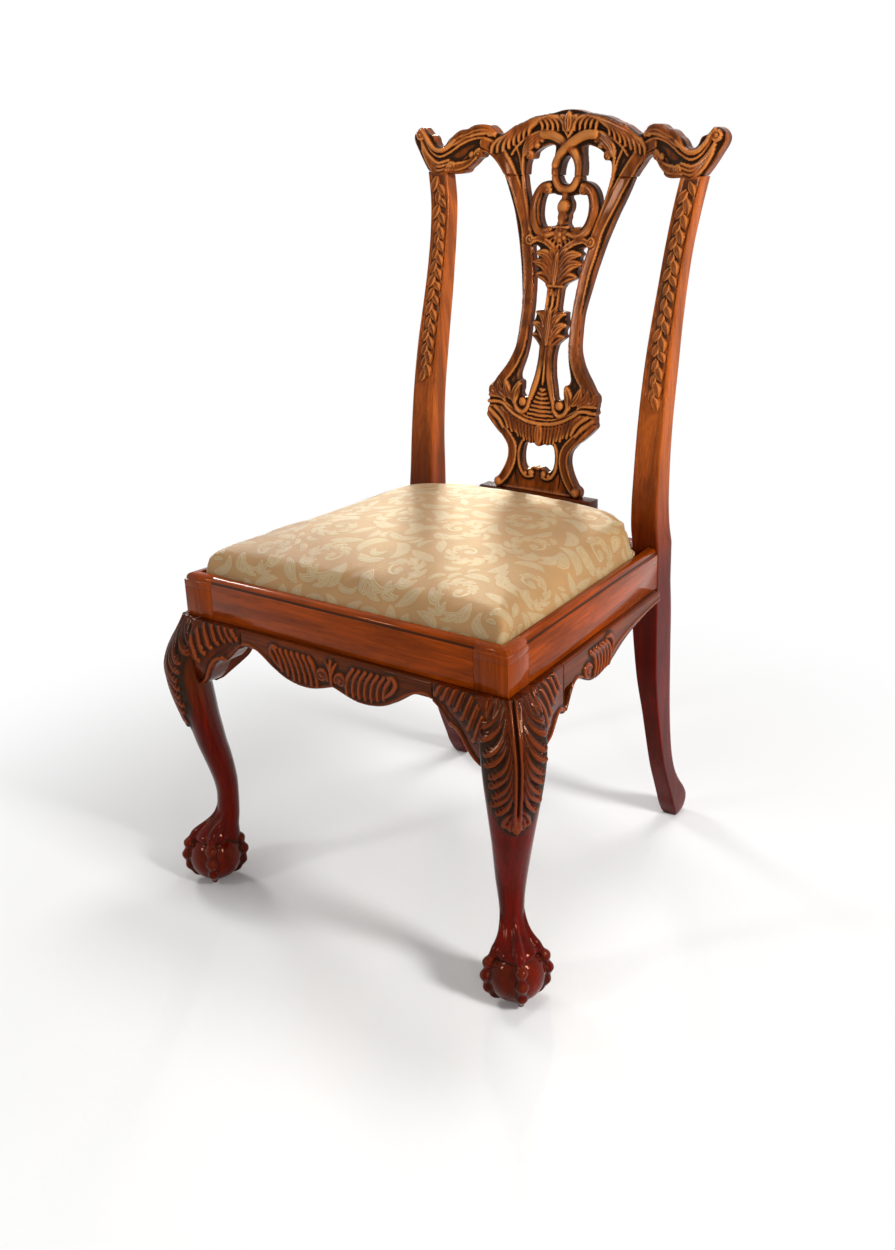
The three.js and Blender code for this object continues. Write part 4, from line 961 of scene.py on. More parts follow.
def draw_back(face):
    """The carving of the splat and the crest rail, drawn for the right half and mirrored."""
    ridge, frond, button, band, volute = face.ridge, face.frond, face.button, face.band, face.volute
    # the foot and its panel
    band([(68, 502, 5.5), (58, 513, 7), (49, 528, 7.5), (44, 545, 7.5), (46, 561, 7.5), (56, 574, 7),
          (68, 585, 6.5)], 1.6)
    button(67, 505, 7, 3.5, 1.5)
    ridge([(9, 519, 1.9), (16, 517.5, 2), (23, 520, 2.2), (30, 530, 2.4), (33, 545, 2.4), (32, 557, 2.4),
           (28, 567, 2.2)], 2.2)
    button(11, 524, 4.6, 2.6)
    button(20, 522, 3.4, 2.0)
    face.groove([(36, 506, 1.2), (38, 520, 1.4), (36, 534, 1.2)], 1.2)
    # leaves under the collar
    for k in range(9):
        x = 4.5 + 6.1 * k
        top = 590 + 25 * (x / 67) ** 2
        low = 566 + 15 * (x / 52) ** 2 + (1.6 if k % 2 else -1.2)
        ridge([(x, top, 2.5), (0.95 * x, (top + low) / 2, 3), (0.86 * x, low, 1.8)], 2.3, 0.6, 0.2)
    frond([(0, 593), (0, 580), (0, 563)], 8, 3, 1.8, 3)
    ridge([(88, 607, 3.8), (80, 601, 4.2), (70, 594, 3.8), (62, 584, 2.6)], 2.6, 1)
    ridge([(90, 600, 3.4), (82, 592, 3.8), (74, 584, 3.4), (66, 576, 2.4)], 2.4, 0.8)
    ridge([(78, 611, 3.2), (68, 605, 3.8), (59, 596, 3.4), (54, 585, 2.4)], 2.6, 1)
    ridge([(66, 611, 2.8), (58, 604, 3.2), (51, 593, 2.8), (47, 580, 2.0)], 2.4, 0.8)
    # the collar
    ridge([(0, 600.5, 1.3), (20, 602, 1.3), (40, 608, 1.3), (54, 615.5, 1.3), (64, 622, 1.3)], 1.4, 1.4)
    ridge([(0, 589, 1.2), (20, 590.5, 1.2), (40, 596.5, 1.2), (54, 604.5, 1.2), (66, 611.5, 1.2),
           (90, 612, 1.2)], 1.2, 1.4)
    ridge([(0, 594.7, 2.7), (20, 596.4, 2.7), (40, 602.8, 2.7), (55, 611, 2.7), (67, 618.4, 2.6),
           (91, 618, 2.4)], 3, 1.6)
    ridge([(62, 622, 1.6), (70, 626, 2.2), (90, 626.5, 2.2)], 2.2, 1.4)
    # ribs and volutes above it
    for k in range(7):
        z = 606 + 5.9 * k
        reach = 22 * (648 - z) / 44
        ridge([(0, z, 2.2), (reach, z + 1.2, 1.7)], 1.8, 0.6)
    ridge([(15, 642, 2.4), (20, 626, 2.8), (23, 615, 3), (31, 608.5, 3.2), (40, 612, 3.3), (45, 623, 3.2),
           (44, 636, 3.4), (38, 647, 2.6)], 2.8, 1.2)
    button(31, 623, 6.6, 4, 1.4)
    frond([(46, 620), (45, 634), (38, 652)], 7, 2.4, 1.4, 3)
    frond([(52, 626), (60, 636), (64, 650)], 7, 2.6, 1, 3)
    frond([(62, 626), (74, 634), (76, 648)], 8, 2.6, 1, 3)
    frond([(74, 628), (86, 634), (86, 644)], 7, 2.6, 1, 3)
    # the straps
    band([(80, 640, 7), (71, 652, 7.6), (59, 667, 8), (50.5, 682, 8), (44, 702, 8), (42, 740, 8.2),
          (42.6, 760, 8.2), (47, 800, 8.2), (55, 835, 8.2), (60, 860, 8.4), (75, 893, 9), (84, 912, 9),
          (94.5, 930, 9.2), (104, 944, 9.4), (119, 962, 8.6), (136, 969, 6.5)], 1.8, 1.4, rise=0.5)
    # the stem
    ridge([(6.8, 704, 5), (7.2, 684, 5.2), (9.8, 662, 5.2), (14.5, 645, 5), (19, 630, 4)], 3.2, 0.8)
    ridge([(0, 700, 1.6), (0, 664, 1.8), (0, 650, 1.2)], 1.5, 2.4)
    # the lower acanthus
    frond([(4, 699), (9, 707), (17, 713.5), (27.5, 716)], 5.5, 2.6, 1.0, 2)
    frond([(3.5, 704), (8, 718), (17, 728.5), (29.5, 732)], 7, 3, 1.4, 3)
    frond([(3, 714), (6, 732), (14, 744), (26.5, 747.5)], 6.5, 3, 1.6, 3)
    frond([(2.6, 728), (4, 744), (10, 757)], 4, 2.8, 1.6, 2)
    frond([(0, 704), (0, 732), (0, 758)], 5, 3.8, 2.4, 3)
    # the neck
    ridge([(8.8, 748, 2.8), (9, 766, 2.5), (9.6, 781, 2.6)], 2.6, 0.8)
    volute(4.2, 773, 4.6, 1.5, 1.8, 0.8, -1, 90)
    ridge([(0, 755, 2), (0, 766, 2.6), (0, 771, 1.4)], 2.0, 0.8)
    ridge([(0, 782.5, 2.2), (13, 782.5, 2.2)], 2.8, 1.6)
    # the upper acanthus
    frond([(6, 785), (12, 790), (21, 795), (34.5, 796)], 6, 2.8, 1.0, 2)
    frond([(5.5, 788), (10, 800), (22, 811), (41, 813.5)], 8, 3.1, 1.4, 3)
    frond([(4.5, 796), (8, 811), (19, 823), (39, 826)], 7.5, 3.1, 1.7, 3)
    frond([(3.5, 806), (6, 822), (14, 834)], 5, 2.8, 1.7, 2)
    frond([(0, 785), (0, 804), (0, 829)], 5.5, 3.8, 2.4, 3)
    # ribbons, rosette and diaper
    band([(2, 816, 3.6), (8, 829, 4), (20, 839, 4.2), (35, 843.5, 4), (44, 842, 3.6)], 2.4, 1.3)
    volute(50, 843, 7, 2.2, 2.6, 1.2, 1, 200)
    for x, z in ((0, 833), (6, 838), (0, 841), (12, 842)):
        ridge([(x - 4, z, 1.2), (x, z + 4, 1.2), (x + 4, z, 1.2), (x, z - 4, 1.2), (x - 4, z, 1.2)], 1.4, 1.4)
    for k in range(6):
        angle = math.radians(60 * k + 30)
        button(6.8 * math.cos(angle), 851 + 6.8 * math.sin(angle), 4.4, 2.2, 2.4, mirror=False)
    button(0, 851, 4.2, 3.6, 2.6)
    # the C-scroll ring
    ring = [(12, 851.5, 3.5), (26, 850, 6), (38, 856, 7.6), (46, 870, 8.4), (48, 886, 8.6), (45, 901, 8.4),
            (37, 912, 7), (28, 914.5, 4.5)]
    ridge(ring, 4.0, 0.6)
    face.groove([(18, 854.5, 0.9), (30, 856.5, 1.0), (39, 864, 1.1), (43.5, 876, 1.1), (44, 890, 1.1),
                 (40, 903, 1.0)], 1.5)
    volute(28.5, 909, 6.4, 2.6, 3, 1.6, -1, 90)
    frond([(32, 853), (24, 857), (15, 858)], 5, 2, 2.6, 3)
    # the finial
    ridge([(0, 860.5, 2.2), (10, 860.5, 2.2)], 3.6, 1.8)
    ridge([(0, 865.5, 2), (7, 865.5, 2)], 3.2, 1.6)
    ridge([(0, 868, 6.5), (0, 873, 9), (0, 877, 8)], 5, 1.4)
    button(0, 887, 11, 7.5, 0.6)
    ridge([(0, 895, 5), (0, 904, 5)], 3.4, 1)
    # the ribbon loop, whose left arm passes over the right one
    loop = [(0, 909.5, 6.2), (11, 913.5, 6.2), (18.5, 927, 6.4), (18, 943, 6.6), (11, 956, 6.6),
            (0, 966, 6.6), (-14, 975, 6.8), (-28, 980.5, 7), (-42, 981, 6.6)]
    ridge(loop, 4.6, 0.6, mirror=False)
    ridge([(-x, z, width) for x, z, width in loop[:5]], 4.6, 0.6, mirror=False)
    ridge([(-x, z, width) for x, z, width in loop[3:]], 4.6, 2.8, mirror=False)
    # ribbons beside the straps
    ridge([(74, 950, 2.4), (73.5, 930, 2.6), (68, 904, 2.6), (59, 876, 2.6), (53, 856, 2.4)], 2.2, 1.0)
    # leaf scrolls under the arch
    frond([(42, 982), (54, 976), (66, 966), (75, 950)], 9.5, 2.8, 1.4, 4)
    volute(63, 953, 6, 2.2, 2.6, 1.2, 1, 30)
    button(52, 967, 5, 2.6, 1)
    button(44, 974, 4, 2.2, 1)
    ridge([(76, 934, 1.4), (80, 950, 1.5), (88, 966, 1.6), (95, 974, 1.2)], 1.5, 1.0)
    # the fronds of the crest
    for k in range(5):
        x = 9 + 8.5 * k
        foot = float(np.interp(x, [10, 40, 54], [987, 987, 984]))
        reach = x + 24
        ridge([(x, foot, 2.0), (x + 1, foot + 8, 3.4), (x + 8, foot + 15, 3.9),
               (reach, crest_line(reach) - 2.5, 2.6)], 4.8, 0.2, 0.3)
    for k in range(8):
        x = 36 + 8.4 * k
        low = float(np.interp(k, [0, 3, 5, 7], [981, 968, 960, 957]))
        line = [
            (x - 6, crest_line(x - 6) - 3, 2.2),
            (x + 9, crest_line(x + 9) - 5 - 0.4 * k, 3.8),
            (x + 21, (crest_line(x + 18) + low) / 2 + 2, 4.1),
            (x + 28, low + 8, 3.9),
            (x + 29.5, low, 2.4),
        ]
        ridge(line, 5.2, 0.2, 0.3)
    ridge([(38, 987, 1.8), (54, 983, 1.9), (70, 976, 1.9), (84, 966, 1.9), (94, 955, 1.6)], 2.2, 1.2)
    frond([(0, 986), (0, 998), (0, 1011)], 7, 3.6, 3, 3)
    frond([(3, 990), (7, 999), (14, 1006)], 6, 3, 2.4, 3)
    ridge([(0, 977, 1.6), (5, 985, 2.4), (9, 992, 1.6)], 2.4, 2.4)
    # the ears
    ridge([(104, 929, 1.8), (114, 943, 1.8), (127, 955, 1.9), (139, 959.5, 1.8)], 2.2, 0.8)
    volute(143, 955, 6, 2.1, 2.6, 0.8, -1, 90)
    button(153, 953.5, 5, 2.8, 0.8)
    ridge([(86, 929, 1.5), (98, 946, 1.6), (112, 961, 1.6), (127, 973, 1.6), (141, 976.5, 1.6),
           (158, 973, 1.6), (172, 966, 1.6), (186, 957, 1.6), (202, 951, 1.6), (216, 957, 1.6),
           (227, 970, 1.6), (233, 982, 1.5)], 1.8, 0.8)
    frond([(121, 981), (133, 987), (148, 986), (160, 981), (172, 977)], 8, 3, 1.6, 3)
    frond([(150, 982), (166, 980), (178, 973), (190, 964)], 8, 2.8, 1.2, 3)
    volute(129, 983, 5.5, 2, 2.6, 1.4, 1, 0)
    ridge([(234, 987, 3), (228, 980, 3.2), (221, 970, 3.4), (211, 961.5, 3.4), (200, 959.5, 3.4),
           (189, 964, 3.4), (178, 973, 3)], 3.2, 1.4)
    volute(237, 981, 8, 2.6, 2.8, 1.2, 1, 120)
    for k in range(4):
        drop = 5.2 * k
        ridge([(152 + 3 * k, 948 - drop, 2), (166 + 2 * k, 943 - drop * 0.9, 2.4),
               (184, 941 - drop * 0.7, 2.2)], 2.4, 0.8)
        ridge([(188, 946 - drop, 2), (206, 943 - drop, 2.4), (222, 954 - drop * 0.8, 2.4),
               (236 - k, 974 - drop, 1.8)], 2.3, 0.8)
    ridge([(146, 950, 2.2), (156, 940, 2.4), (170, 934, 2.4), (190, 933, 2.2)], 2.6, 1.4)
    volute(182, 938, 6, 2.2, 2.6, 1.4, 1, 0)


class CHAIR_OT_back(bpy.types.Operator):
    """Carves the pierced splat and the serpentine crest rail"""

    bl_idname = "chair.back"
    bl_label = "Splat and crest rail"

    def execute(self, context):
        """Carves both from one drawing, parted at the seam between them."""
        sizes = context.scene.chair_sizes
        finishes = context.scene.chair_finishes
        place = on_back(sizes)
        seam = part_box("crest_rail")[0].z / mm
        deep = tinted(finishes.back, 0.3)
        # painted shade in the carving's recesses, worn finish and painted highlight on its ridges
        looks = {"painted_shade_strength": 1.35, "wear_and_highlight": 0.6, "worn_and_highlit": (0.76, 0.28, 0.065)}
        material = wood("Golden mahogany", finishes.back, deep, finishes, **looks)

        def flatten(p):
            return p[:, 0], p[:, 1] - post_front - lean(p[:, 2], sizes) - bow(p[:, 0], sizes), p[:, 2]

        windows = {
            "back_splat": ((-124, 492), (124, 934), sizes.splat_depth, -1),
            "crest_rail": ((-258, 920), (258, 1018), sizes.crest_depth, 1),
        }
        for name, (low, high, depth, side) in windows.items():
            face = Carving(low, high, sizes.carving_step)
            face.cover_nodes(["back_splat", "crest_rail"], flatten, seam)
            draw_back(face)
            face.sink(1.8)
            keep = side * (face.Z - seam) * 12 - 0.6
            title = "carved_splat" if side < 0 else "carved_crest_rail"
            # the cut sides of the splat and crest are darkened as painted shade
            piece = face.solid(title, place, depth, 2.2, keep, scoop=5.0 if side > 0 else 3.0, wall_shade=0.3)
            dress(piece, "chair_frame", material, [name])
        return {"FINISHED"}


# The back posts

POST_ROWS = [  # height share above the rails, depth, then inner and outer faces inside the back's corner, mm
    (0, 44, 40, 0), (0.04, 42, 43, 2.8), (0.1, 39.6, 44.4, 4.8), (0.21, 34.3, 44.8, 5.2),
    (0.34, 31.2, 44.8, 5.6), (0.5, 29.9, 44.4, 6.4), (0.63, 28.6, 42.8, 8.4), (0.72, 27.7, 40.8, 8.8),
    (0.83, 26.4, 38, 6.8), (0.93, 24.6, 33.6, 0.8), (1, 24, 27.6, -5.6),
]
REAR_LEG_ROWS = [  # height, front and back behind the post's front, then inner and outer faces, mm
    (0, 90.2, 104.8, 27.2, 5.6), (4.8, 87.3, 112.5, 28.8, 4), (12, 83.4, 118.3, 29.6, 3.2),
    (25, 76.6, 121.2, 29.6, 2.8), (40, 70.8, 114, 29.6, 2.8), (60, 62.1, 98, 29.2, 3.2),
    (80, 53.8, 84.9, 29.2, 3.6), (100, 46.1, 77, 29.2, 4), (120, 39.8, 71.3, 29.2, 4), (150, 32, 66, 29.6, 4),
    (199, 21, 61.1, 31.2, 4), (250, 9.7, 56, 34, 2.4), (300, 4.8, 52, 37.2, 1.2), (358, 1, 48, 39.6, 0),
    (398, 0, 44, 40, 0),
]


def post_ring(front, back, inner, outer, z, corner=5.0, count=26):
    """A rounded section of a post, anticlockwise from above, with its front face first."""

    def along(a, b, n):
        return [a + (b - a) * i / n for i in range(n)]

    c = min(corner, (back - front) * 0.3)
    fillet = 1.6
    points = [(x, front) for x in along(inner + fillet, outer - fillet, count)]
    points += [(outer - fillet, front), (outer - 0.4, front + 0.5), (outer, front + fillet)]
    points += [(outer, y) for y in along(front + fillet + 3, back - c, 7)]
    for centre, start in (((outer - c, back - c), 0), ((inner + c, back - c), 90)):
        for k in range(5):
            angle = math.radians(start + 22.5 * k)
            points.append((centre[0] + c * math.cos(angle), centre[1] + c * math.sin(angle)))
    points += [(inner, y) for y in along(back - c - 3, front + fillet, 7)]
    points += [(inner, front + fillet), (inner + 0.4, front + 0.5)]
    return [(x, y, z) for x, y in points]


def post_places(sizes):
    """A function that gives the right post's front, back, inner and outer faces at a height, and its top."""
    corner = sizes.seat_rear / 2
    below_crest = 82.3
    top = crest_top - below_crest

    def at(z):
        if z < rail_low:
            front, back, inner, outer = smooth_table(REAR_LEG_ROWS, z)
            return post_front + front, post_front + back, corner - inner, corner - outer
        share = max(0.0, (z - rail_top) / (top - rail_top))
        depth, inner, outer = smooth_table(POST_ROWS, share)
        front = post_front + float(lean(max(z, rail_top), sizes))
        return front, front + depth, corner - inner, corner - outer

    return at, top


def post_relief(face):
    """The beaded edges and the ground of the garland; x is measured from the post's middle."""
    for side in (1, -1):
        line = [(side * (15.5 - 0.004 * (z - 660)), z, 1.3) for z in range(656, 930, 30)]
        face.ridge(line, 1.1, 0.2, mirror=False)
        inner = [(side * (12.6 - 0.004 * (z - 660)), z, 0.9) for z in range(660, 930, 30)]
        face.groove(inner, 0.9, mirror=False)


def carved_post(at, top):
    """The right back post, with the beads and the ground that its garland lies on: the ground darkened as
    painted shade under the garland, the beads lightened as worn finish and painted highlight.
    """
    low = np.concatenate([np.arange(0, 60, 3), np.arange(60, rail_low, 9), np.arange(rail_low, 640, 7)])
    heights = np.concatenate([low, np.arange(640, top, 1.6), [top]])
    face = Carving((-24, 630), (24, 940), 1.0)
    post_relief(face)
    ground = np.clip((11 - np.abs(face.X)) / 2, 0, 1)
    ground = ground * np.clip((face.Z - 655) / 12, 0, 1) * np.clip((930 - face.Z) / 4, 0, 1)
    # painted shade on the ground under the garland, worn finish and painted highlight on the raised beads
    tone = np.clip(-blurred(face.height, 1) * 0.6 + 0.62 * ground, -1, 1)
    rings, hollow = [], []
    for z in heights:
        front, back, inner, outer = at(z)
        ring = np.array(post_ring(front, back, inner, outer, z))
        x = ring[:, 0] - (inner + outer) / 2
        carved = (ring[:, 1] < front + 0.2) & (z > 648)
        hollow.append(np.where(carved, face.sample(tone, x, ring[:, 2]), 0))
        ring[:, 1] -= np.where(carved, face.sample(face.height, x, ring[:, 2]), 0)
        rings.append(ring)
    points, faces = loft(rings)
    return new_piece("carved_back_post_right", points, faces, np.concatenate(hollow + [[0, 0]]))


def garlands(at, material):
    """Leaves and berries that hang down both posts."""
    line = []
    for z in np.arange(656, 925, 3.0):
        front, _, inner, outer = at(z)
        line.append(((inner + outer) / 2, front - 0.1, z))
    lines = [line, [(-x, y, z) for x, y, z in line]]
    leaf = {"Piece": leaf_piece(21, 6.2, 4.2), "Spacing": 9.6 * mm, "Splay": 0.46, "Unevenness": 0.4,
            "Seed": 4}
    berry = {"Piece": berry_piece(2.7), "Spacing": 19.2 * mm, "Unevenness": 0.2, "Seed": 9}
    leaf["Material"] = berry["Material"] = material
    garland = strung("garland", lines, leaf)
    garland = merged_pieces(garland, strung("berries", lines, berry))
    garland.name = garland.data.name = "carved_garlands"
    return garland


class CHAIR_OT_posts(bpy.types.Operator):
    """Shapes the raked back posts, from the heels to the crest rail"""

    bl_idname = "chair.posts"
    bl_label = "Back posts"

    def execute(self, context):
        """Skins the right post over its sections, mirrors it and hangs the garlands."""
        sizes = context.scene.chair_sizes
        finishes = context.scene.chair_finishes
        at, top = post_places(sizes)
        right = carved_post(at, top)
        pale, deep = tinted(finishes.back, 1.2), tinted(finishes.back, 0.6)
        foot = (380, 640, finishes.leg)
        # the worn and highlit colour: worn finish and painted highlight on the post's ridges
        worn_and_highlit = (0.62, 0.24, 0.065)
        material = wood("Post mahogany", pale, deep, finishes, turn=0.3, foot=foot, worn_and_highlit=worn_and_highlit, wear_and_highlight=0.8)
        dress_both(right, material, "back_post")
        dress(garlands(at, material), "chair_frame", material)
        return {"FINISHED"}


# The front legs

LEG_ROWS = [  # height, outer and inner reach along the corner's diagonal, half width, squareness
    (40, 6, -33, 16, 2), (62, 4, -36, 16.5, 2), (80, -2, -36, 15.8, 2), (95, -7, -38, 15, 2),
    (110, -9, -39, 15.2, 2), (135, -10, -40, 17.2, 2), (150, -8, -40, 19, 2), (170, -3, -38, 21, 2),
    (190, 3, -35, 23, 2), (210, 9, -31, 25, 2), (230, 14, -28, 27.5, 2.1), (250, 20, -25, 30, 2.2),
    (270, 26, -23, 32.5, 2.2), (290, 31, -21, 35, 2.3), (310, 34, -19, 37, 2.4), (330, 35, -20, 38.5, 2.5),
    (345, 31, -24, 39, 2.6), (360, 24, -38, 38, 2.8), (375, 15, -52, 36.5, 3.3), (388, 8, -62, 35, 4.5),
    (397.4, 4, -66, 33.8, 8),
]
KNEE_EDGE = [  # height and half width of the leaf on the knee
    (236, 3), (246, 10), (253, 15.5), (262, 20), (273, 23.5), (299, 25.5), (316, 28.5), (335, 31.5),
    (359, 35.5), (384, 39),
]
FOOT = (257.0, 4.0)  # the ball's middle, right of the chair's and behind the front face


def leg_point(out, side, z):
    """A point by its reach along the corner's diagonal and its distance beside it."""
    out, side, z = np.broadcast_arrays(out, side, z)
    return np.stack([FOOT[0] + (out + side) * math.sqrt(0.5), FOOT[1] + (side - out) * math.sqrt(0.5), z], -1)


def leg_places(points):
    """The reach along the diagonal and the distance beside it of points."""
    x, y = points[:, 0] - FOOT[0], points[:, 1] - FOOT[1]
    return (x - y) * math.sqrt(0.5), (x + y) * math.sqrt(0.5)


def leg_shaft():
    """The cabriole shaft as a smooth skin."""
    angle = turns(96)
    rings = []
    for z in np.append(np.arange(40, 397.5, 2.0), 397.4):
        out, inner, half, power = smooth_table(LEG_ROWS, z)
        middle, reach = (out + inner) / 2, (out - inner) / 2
        x = np.sign(np.cos(angle)) * np.abs(np.cos(angle)) ** (2 / power)
        y = np.sign(np.sin(angle)) * np.abs(np.sin(angle)) ** (2 / power)
        grow = 2 ** (1 / 2 - 1 / power) * math.sqrt(2)
        rings.append(leg_point(middle + (x - y) / grow * reach, (x + y) / grow * half, z))
    return loft(rings)


def tube(path, radius, around=14):
    """A skin of a varying radius along a path."""
    way = np.gradient(path, axis=0)
    way /= np.linalg.norm(way, axis=1)[:, None]
    side = np.cross(way, [0.31, 0.22, 0.92])
    side /= np.linalg.norm(side, axis=1)[:, None]
    up = np.cross(way, side)
    angle = turns(around)
    rings = []
    for middle, reach, across, above in zip(path, radius, side, up):
        ring = np.outer(np.cos(angle), across) + np.outer(np.sin(angle), above)
        rings.append(middle + reach * ring)
    return loft(rings)


TOE_ROWS = [  # height, reach from the middle, share of the ankle's offset, radius
    (150, 10.5, 1, 1.4), (128, 11.5, 1, 2.4), (108, 12.5, 0.95, 3.2), (96, 13.5, 0.75, 4.0),
    (86, 16, 0.45, 4.8), (78, 20, 0.2, 6.0), (71, 25, 0.05, 6.6), (64, 30, 0, 5.2), (56, 34, 0, 8.6),
    (48, 36, 0, 5.2), (39, 37.4, 0, 8.8), (30, 36.8, 0, 5.2), (22, 35, 0, 7.6), (14.5, 31.6, 0, 4.8),
    (8, 27.5, 0, 4.2), (2.6, 21.5, 0, 1.4),
]
WEB_ROWS = [  # height, reach from the middle, share of the ankle's offset
    (130, 12, 1), (110, 12.6, 0.95), (96, 14, 0.7), (86, 16.5, 0.4), (78, 20, 0.15), (71, 25, 0.05),
    (65, 26.5, 0), (61, 24, 0), (57, 17, 0),
]


ANKLE_OFFSET = -24  # the ankle's middle, along the diagonal from the ball's
BALL_HEIGHT = 35.0


def web():
    """The skin between the toes, from the ankle to the top of the ball."""
    angle = turns(48)
    heights = np.linspace(57, 130, 30)
    rings = []
    for z, (reach, share) in zip(heights, smooth_table(WEB_ROWS[::-1], heights)):
        drop = 3.5 * np.cos(4 * angle) * max(0.0, 1 - (z - 57) / 20)
        out = ANKLE_OFFSET * share + reach * np.cos(angle)
        rings.append(leg_point(out, reach * np.sin(angle), z - drop))
    return loft(rings)


def claw(bearing):
    """A toe: its tendon, three knuckles and nail over the ball."""
    heights = np.concatenate([np.linspace(150, 70, 24), np.linspace(68.5, 2.6, 44)])
    reach, share, radius = smooth_table(TOE_ROWS[::-1], heights).T
    turn = math.radians(bearing)
    out = ANKLE_OFFSET * share + reach * math.cos(turn)
    return tube(leg_point(out, reach * math.sin(turn), heights), radius)


def ball(radius):
    """The ball that the claws hold."""
    angle = turns(48)
    rings = []
    for tilt in np.radians(np.linspace(-88, 88, 30)):
        reach = radius * math.cos(tilt)
        height = BALL_HEIGHT + radius * math.sin(tilt)
        rings.append(leg_point(reach * np.cos(angle), reach * np.sin(angle), height))
    return loft(rings)


def draw_knee(face):
    """The acanthus of the knee; x runs across from the leg's outer corner."""
    levels, halves = zip(*KNEE_EDGE)
    for number, tip in enumerate((380, 367, 355, 341, 329, 315, 303, 290, 278, 266)):
        half = float(np.interp(tip, levels, halves)) - (0, 1.8)[number % 2]
        fall = float(np.interp(tip, [255, 290, 340, 384], [26, 42, 56, 48]))
        for k in (2, 1, 0):
            root, end, low = 5.4 + 0.5 * k, half - 2.4 * k, tip + 4.2 * k
            reach = end - root
            thick = (1.0, 0.85, 0.75)[k]
            line = [
                (root, low + fall + 2 * k, 1.1 * thick),
                (root + 0.1 * reach, low + fall * 0.64, 1.7 * thick),
                (root + 0.32 * reach, low + fall * 0.3, 2.4 * thick),
                (root + 0.66 * reach, low + fall * 0.07, 2.6 * thick),
                (end - 1, low - 1.6, 2.5 * thick),
                (end + 0.5, low + 1, 1.4 * thick),
            ]
            face.ridge(line, 4.2 - 0.6 * k, 0.2, 0.25)
    face.ridge([(8.6, 401, 2.4), (6.2, 372, 2.3), (3.4, 340, 1.9), (2.7, 318, 1.7)], 3.4, 1.0)
    face.ridge([(2.6, 401, 1.9), (2.9, 350, 2.0), (2.7, 290, 2.0), (2.3, 246, 1.7)], 3.8, 1.4)
    face.frond([(4, 268), (8.5, 256), (12, 247), (13, 252)], 4.5, 2.6, 0.8, 2)
    face.frond([(2, 262), (5, 248), (7, 240)], 4.5, 2.6, 1.2, 2)
    face.frond([(0, 256), (0, 246), (0, 235)], 6, 3.2, 1.6, 3)
    for k in range(5):
        x, drop = 12.5 + 7 * k, 2 * k
        line = [(x, 402, 2.0), (x + 2, 394 - drop, 2.9), (x + 5.5, 384 - drop, 3.1), (x + 8, 378 - drop, 1.8)]
        face.ridge(line, 3.6, 0.8, 0.2)


BEAD = [(0, 0.0), (1.3, 0.5), (2.1, 1.4), (2.1, 3.0), (2.7, 5.2), (4.2, 7.3), (6.4, 8.6), (9, 9.0)]
QUIRK = 2.1  # how deep the quirk under the bead lies behind the face


def front_stile(sizes):
    """The square top of the right front leg, rebated for the slip seat."""
    width = 47.7
    inner = sizes.seat_front / 2 - width
    ledge = rail_top - rebate_depth
    block = []
    for z in (rail_low, ledge):
        side, rear_side = half_width(sizes, 0), half_width(sizes, width)
        block.append([(inner, 0, z), (side, 0, z), (rear_side, width, z), (inner, width, z)])
    lip = []
    for inset, z in [(0, ledge)] + [(inset, rail_top - bead_height + z) for inset, z in BEAD]:
        lip.append([
            (inner, inset, z),
            (half_width(sizes, inset, inset), inset, z),
            (half_width(sizes, width, inset), width, z),
            (half_width(sizes, width, lip_width), width, z),
            (half_width(sizes, lip_width, lip_width), lip_width, z),
            (inner, lip_width, z),
        ])
    return joined([capped(block), capped(lip)])


def capped(rings):
    """A skin over rings with flat ends."""
    points, faces = loft(rings, closed_ends=False)
    around, last = len(rings[0]), (len(rings) - 1) * len(rings[0])
    return points, faces + [list(range(around))[::-1], [last + k for k in range(around)]]


def crisped(piece, bevel=0.5, angle=32):
    """Keeps a joiner's piece crisp, with its arrises just broken."""
    cut = piece.modifiers.new("Broken arrises", "BEVEL")
    cut.width = bevel * mm
    cut.segments = 2
    cut.limit_method = "ANGLE"
    cut.angle_limit = math.radians(angle)
    rebuilt(piece)
    narrow = 8 * mm
    for face in piece.data.polygons:
        corners = [piece.data.vertices[v].co for v in face.vertices]
        longest = max((a - b).length for a, b in zip(corners, corners[1:] + corners[:1]))
        face.use_smooth = face.area / longest < narrow
    piece.data.set_sharp_from_angle(angle=math.radians(angle))
    return piece


def remeshed(piece, voxel):
    """The piece as one even skin."""
    skin = piece.modifiers.new("Skin", "REMESH")
    skin.mode = "VOXEL"
    skin.voxel_size = voxel * mm
    return rebuilt(piece)


def merged_pieces(first, second):
    """Two pieces as one object."""
    both = [first, second]
    chosen = {"active_object": first, "selected_objects": both, "selected_editable_objects": both}
    with bpy.context.temp_override(**chosen):
        bpy.ops.object.join()
    return first


def claw_tones(sizes, points):
    """Painted shade where the claws meet the ball, a lighter colour on the ball, and a worn finish with
    painted highlight on the knuckles.
    """
    apart = np.linalg.norm(points - leg_point(0, 0, BALL_HEIGHT), axis=1) - sizes.ball_radius
    knuckles = -0.55 * np.clip((apart - 4.5) / 4, 0, 1)
    return np.where((apart > 0.5) & (apart < 2.6), 0.95, np.where(apart < 0.5, -0.45, knuckles))


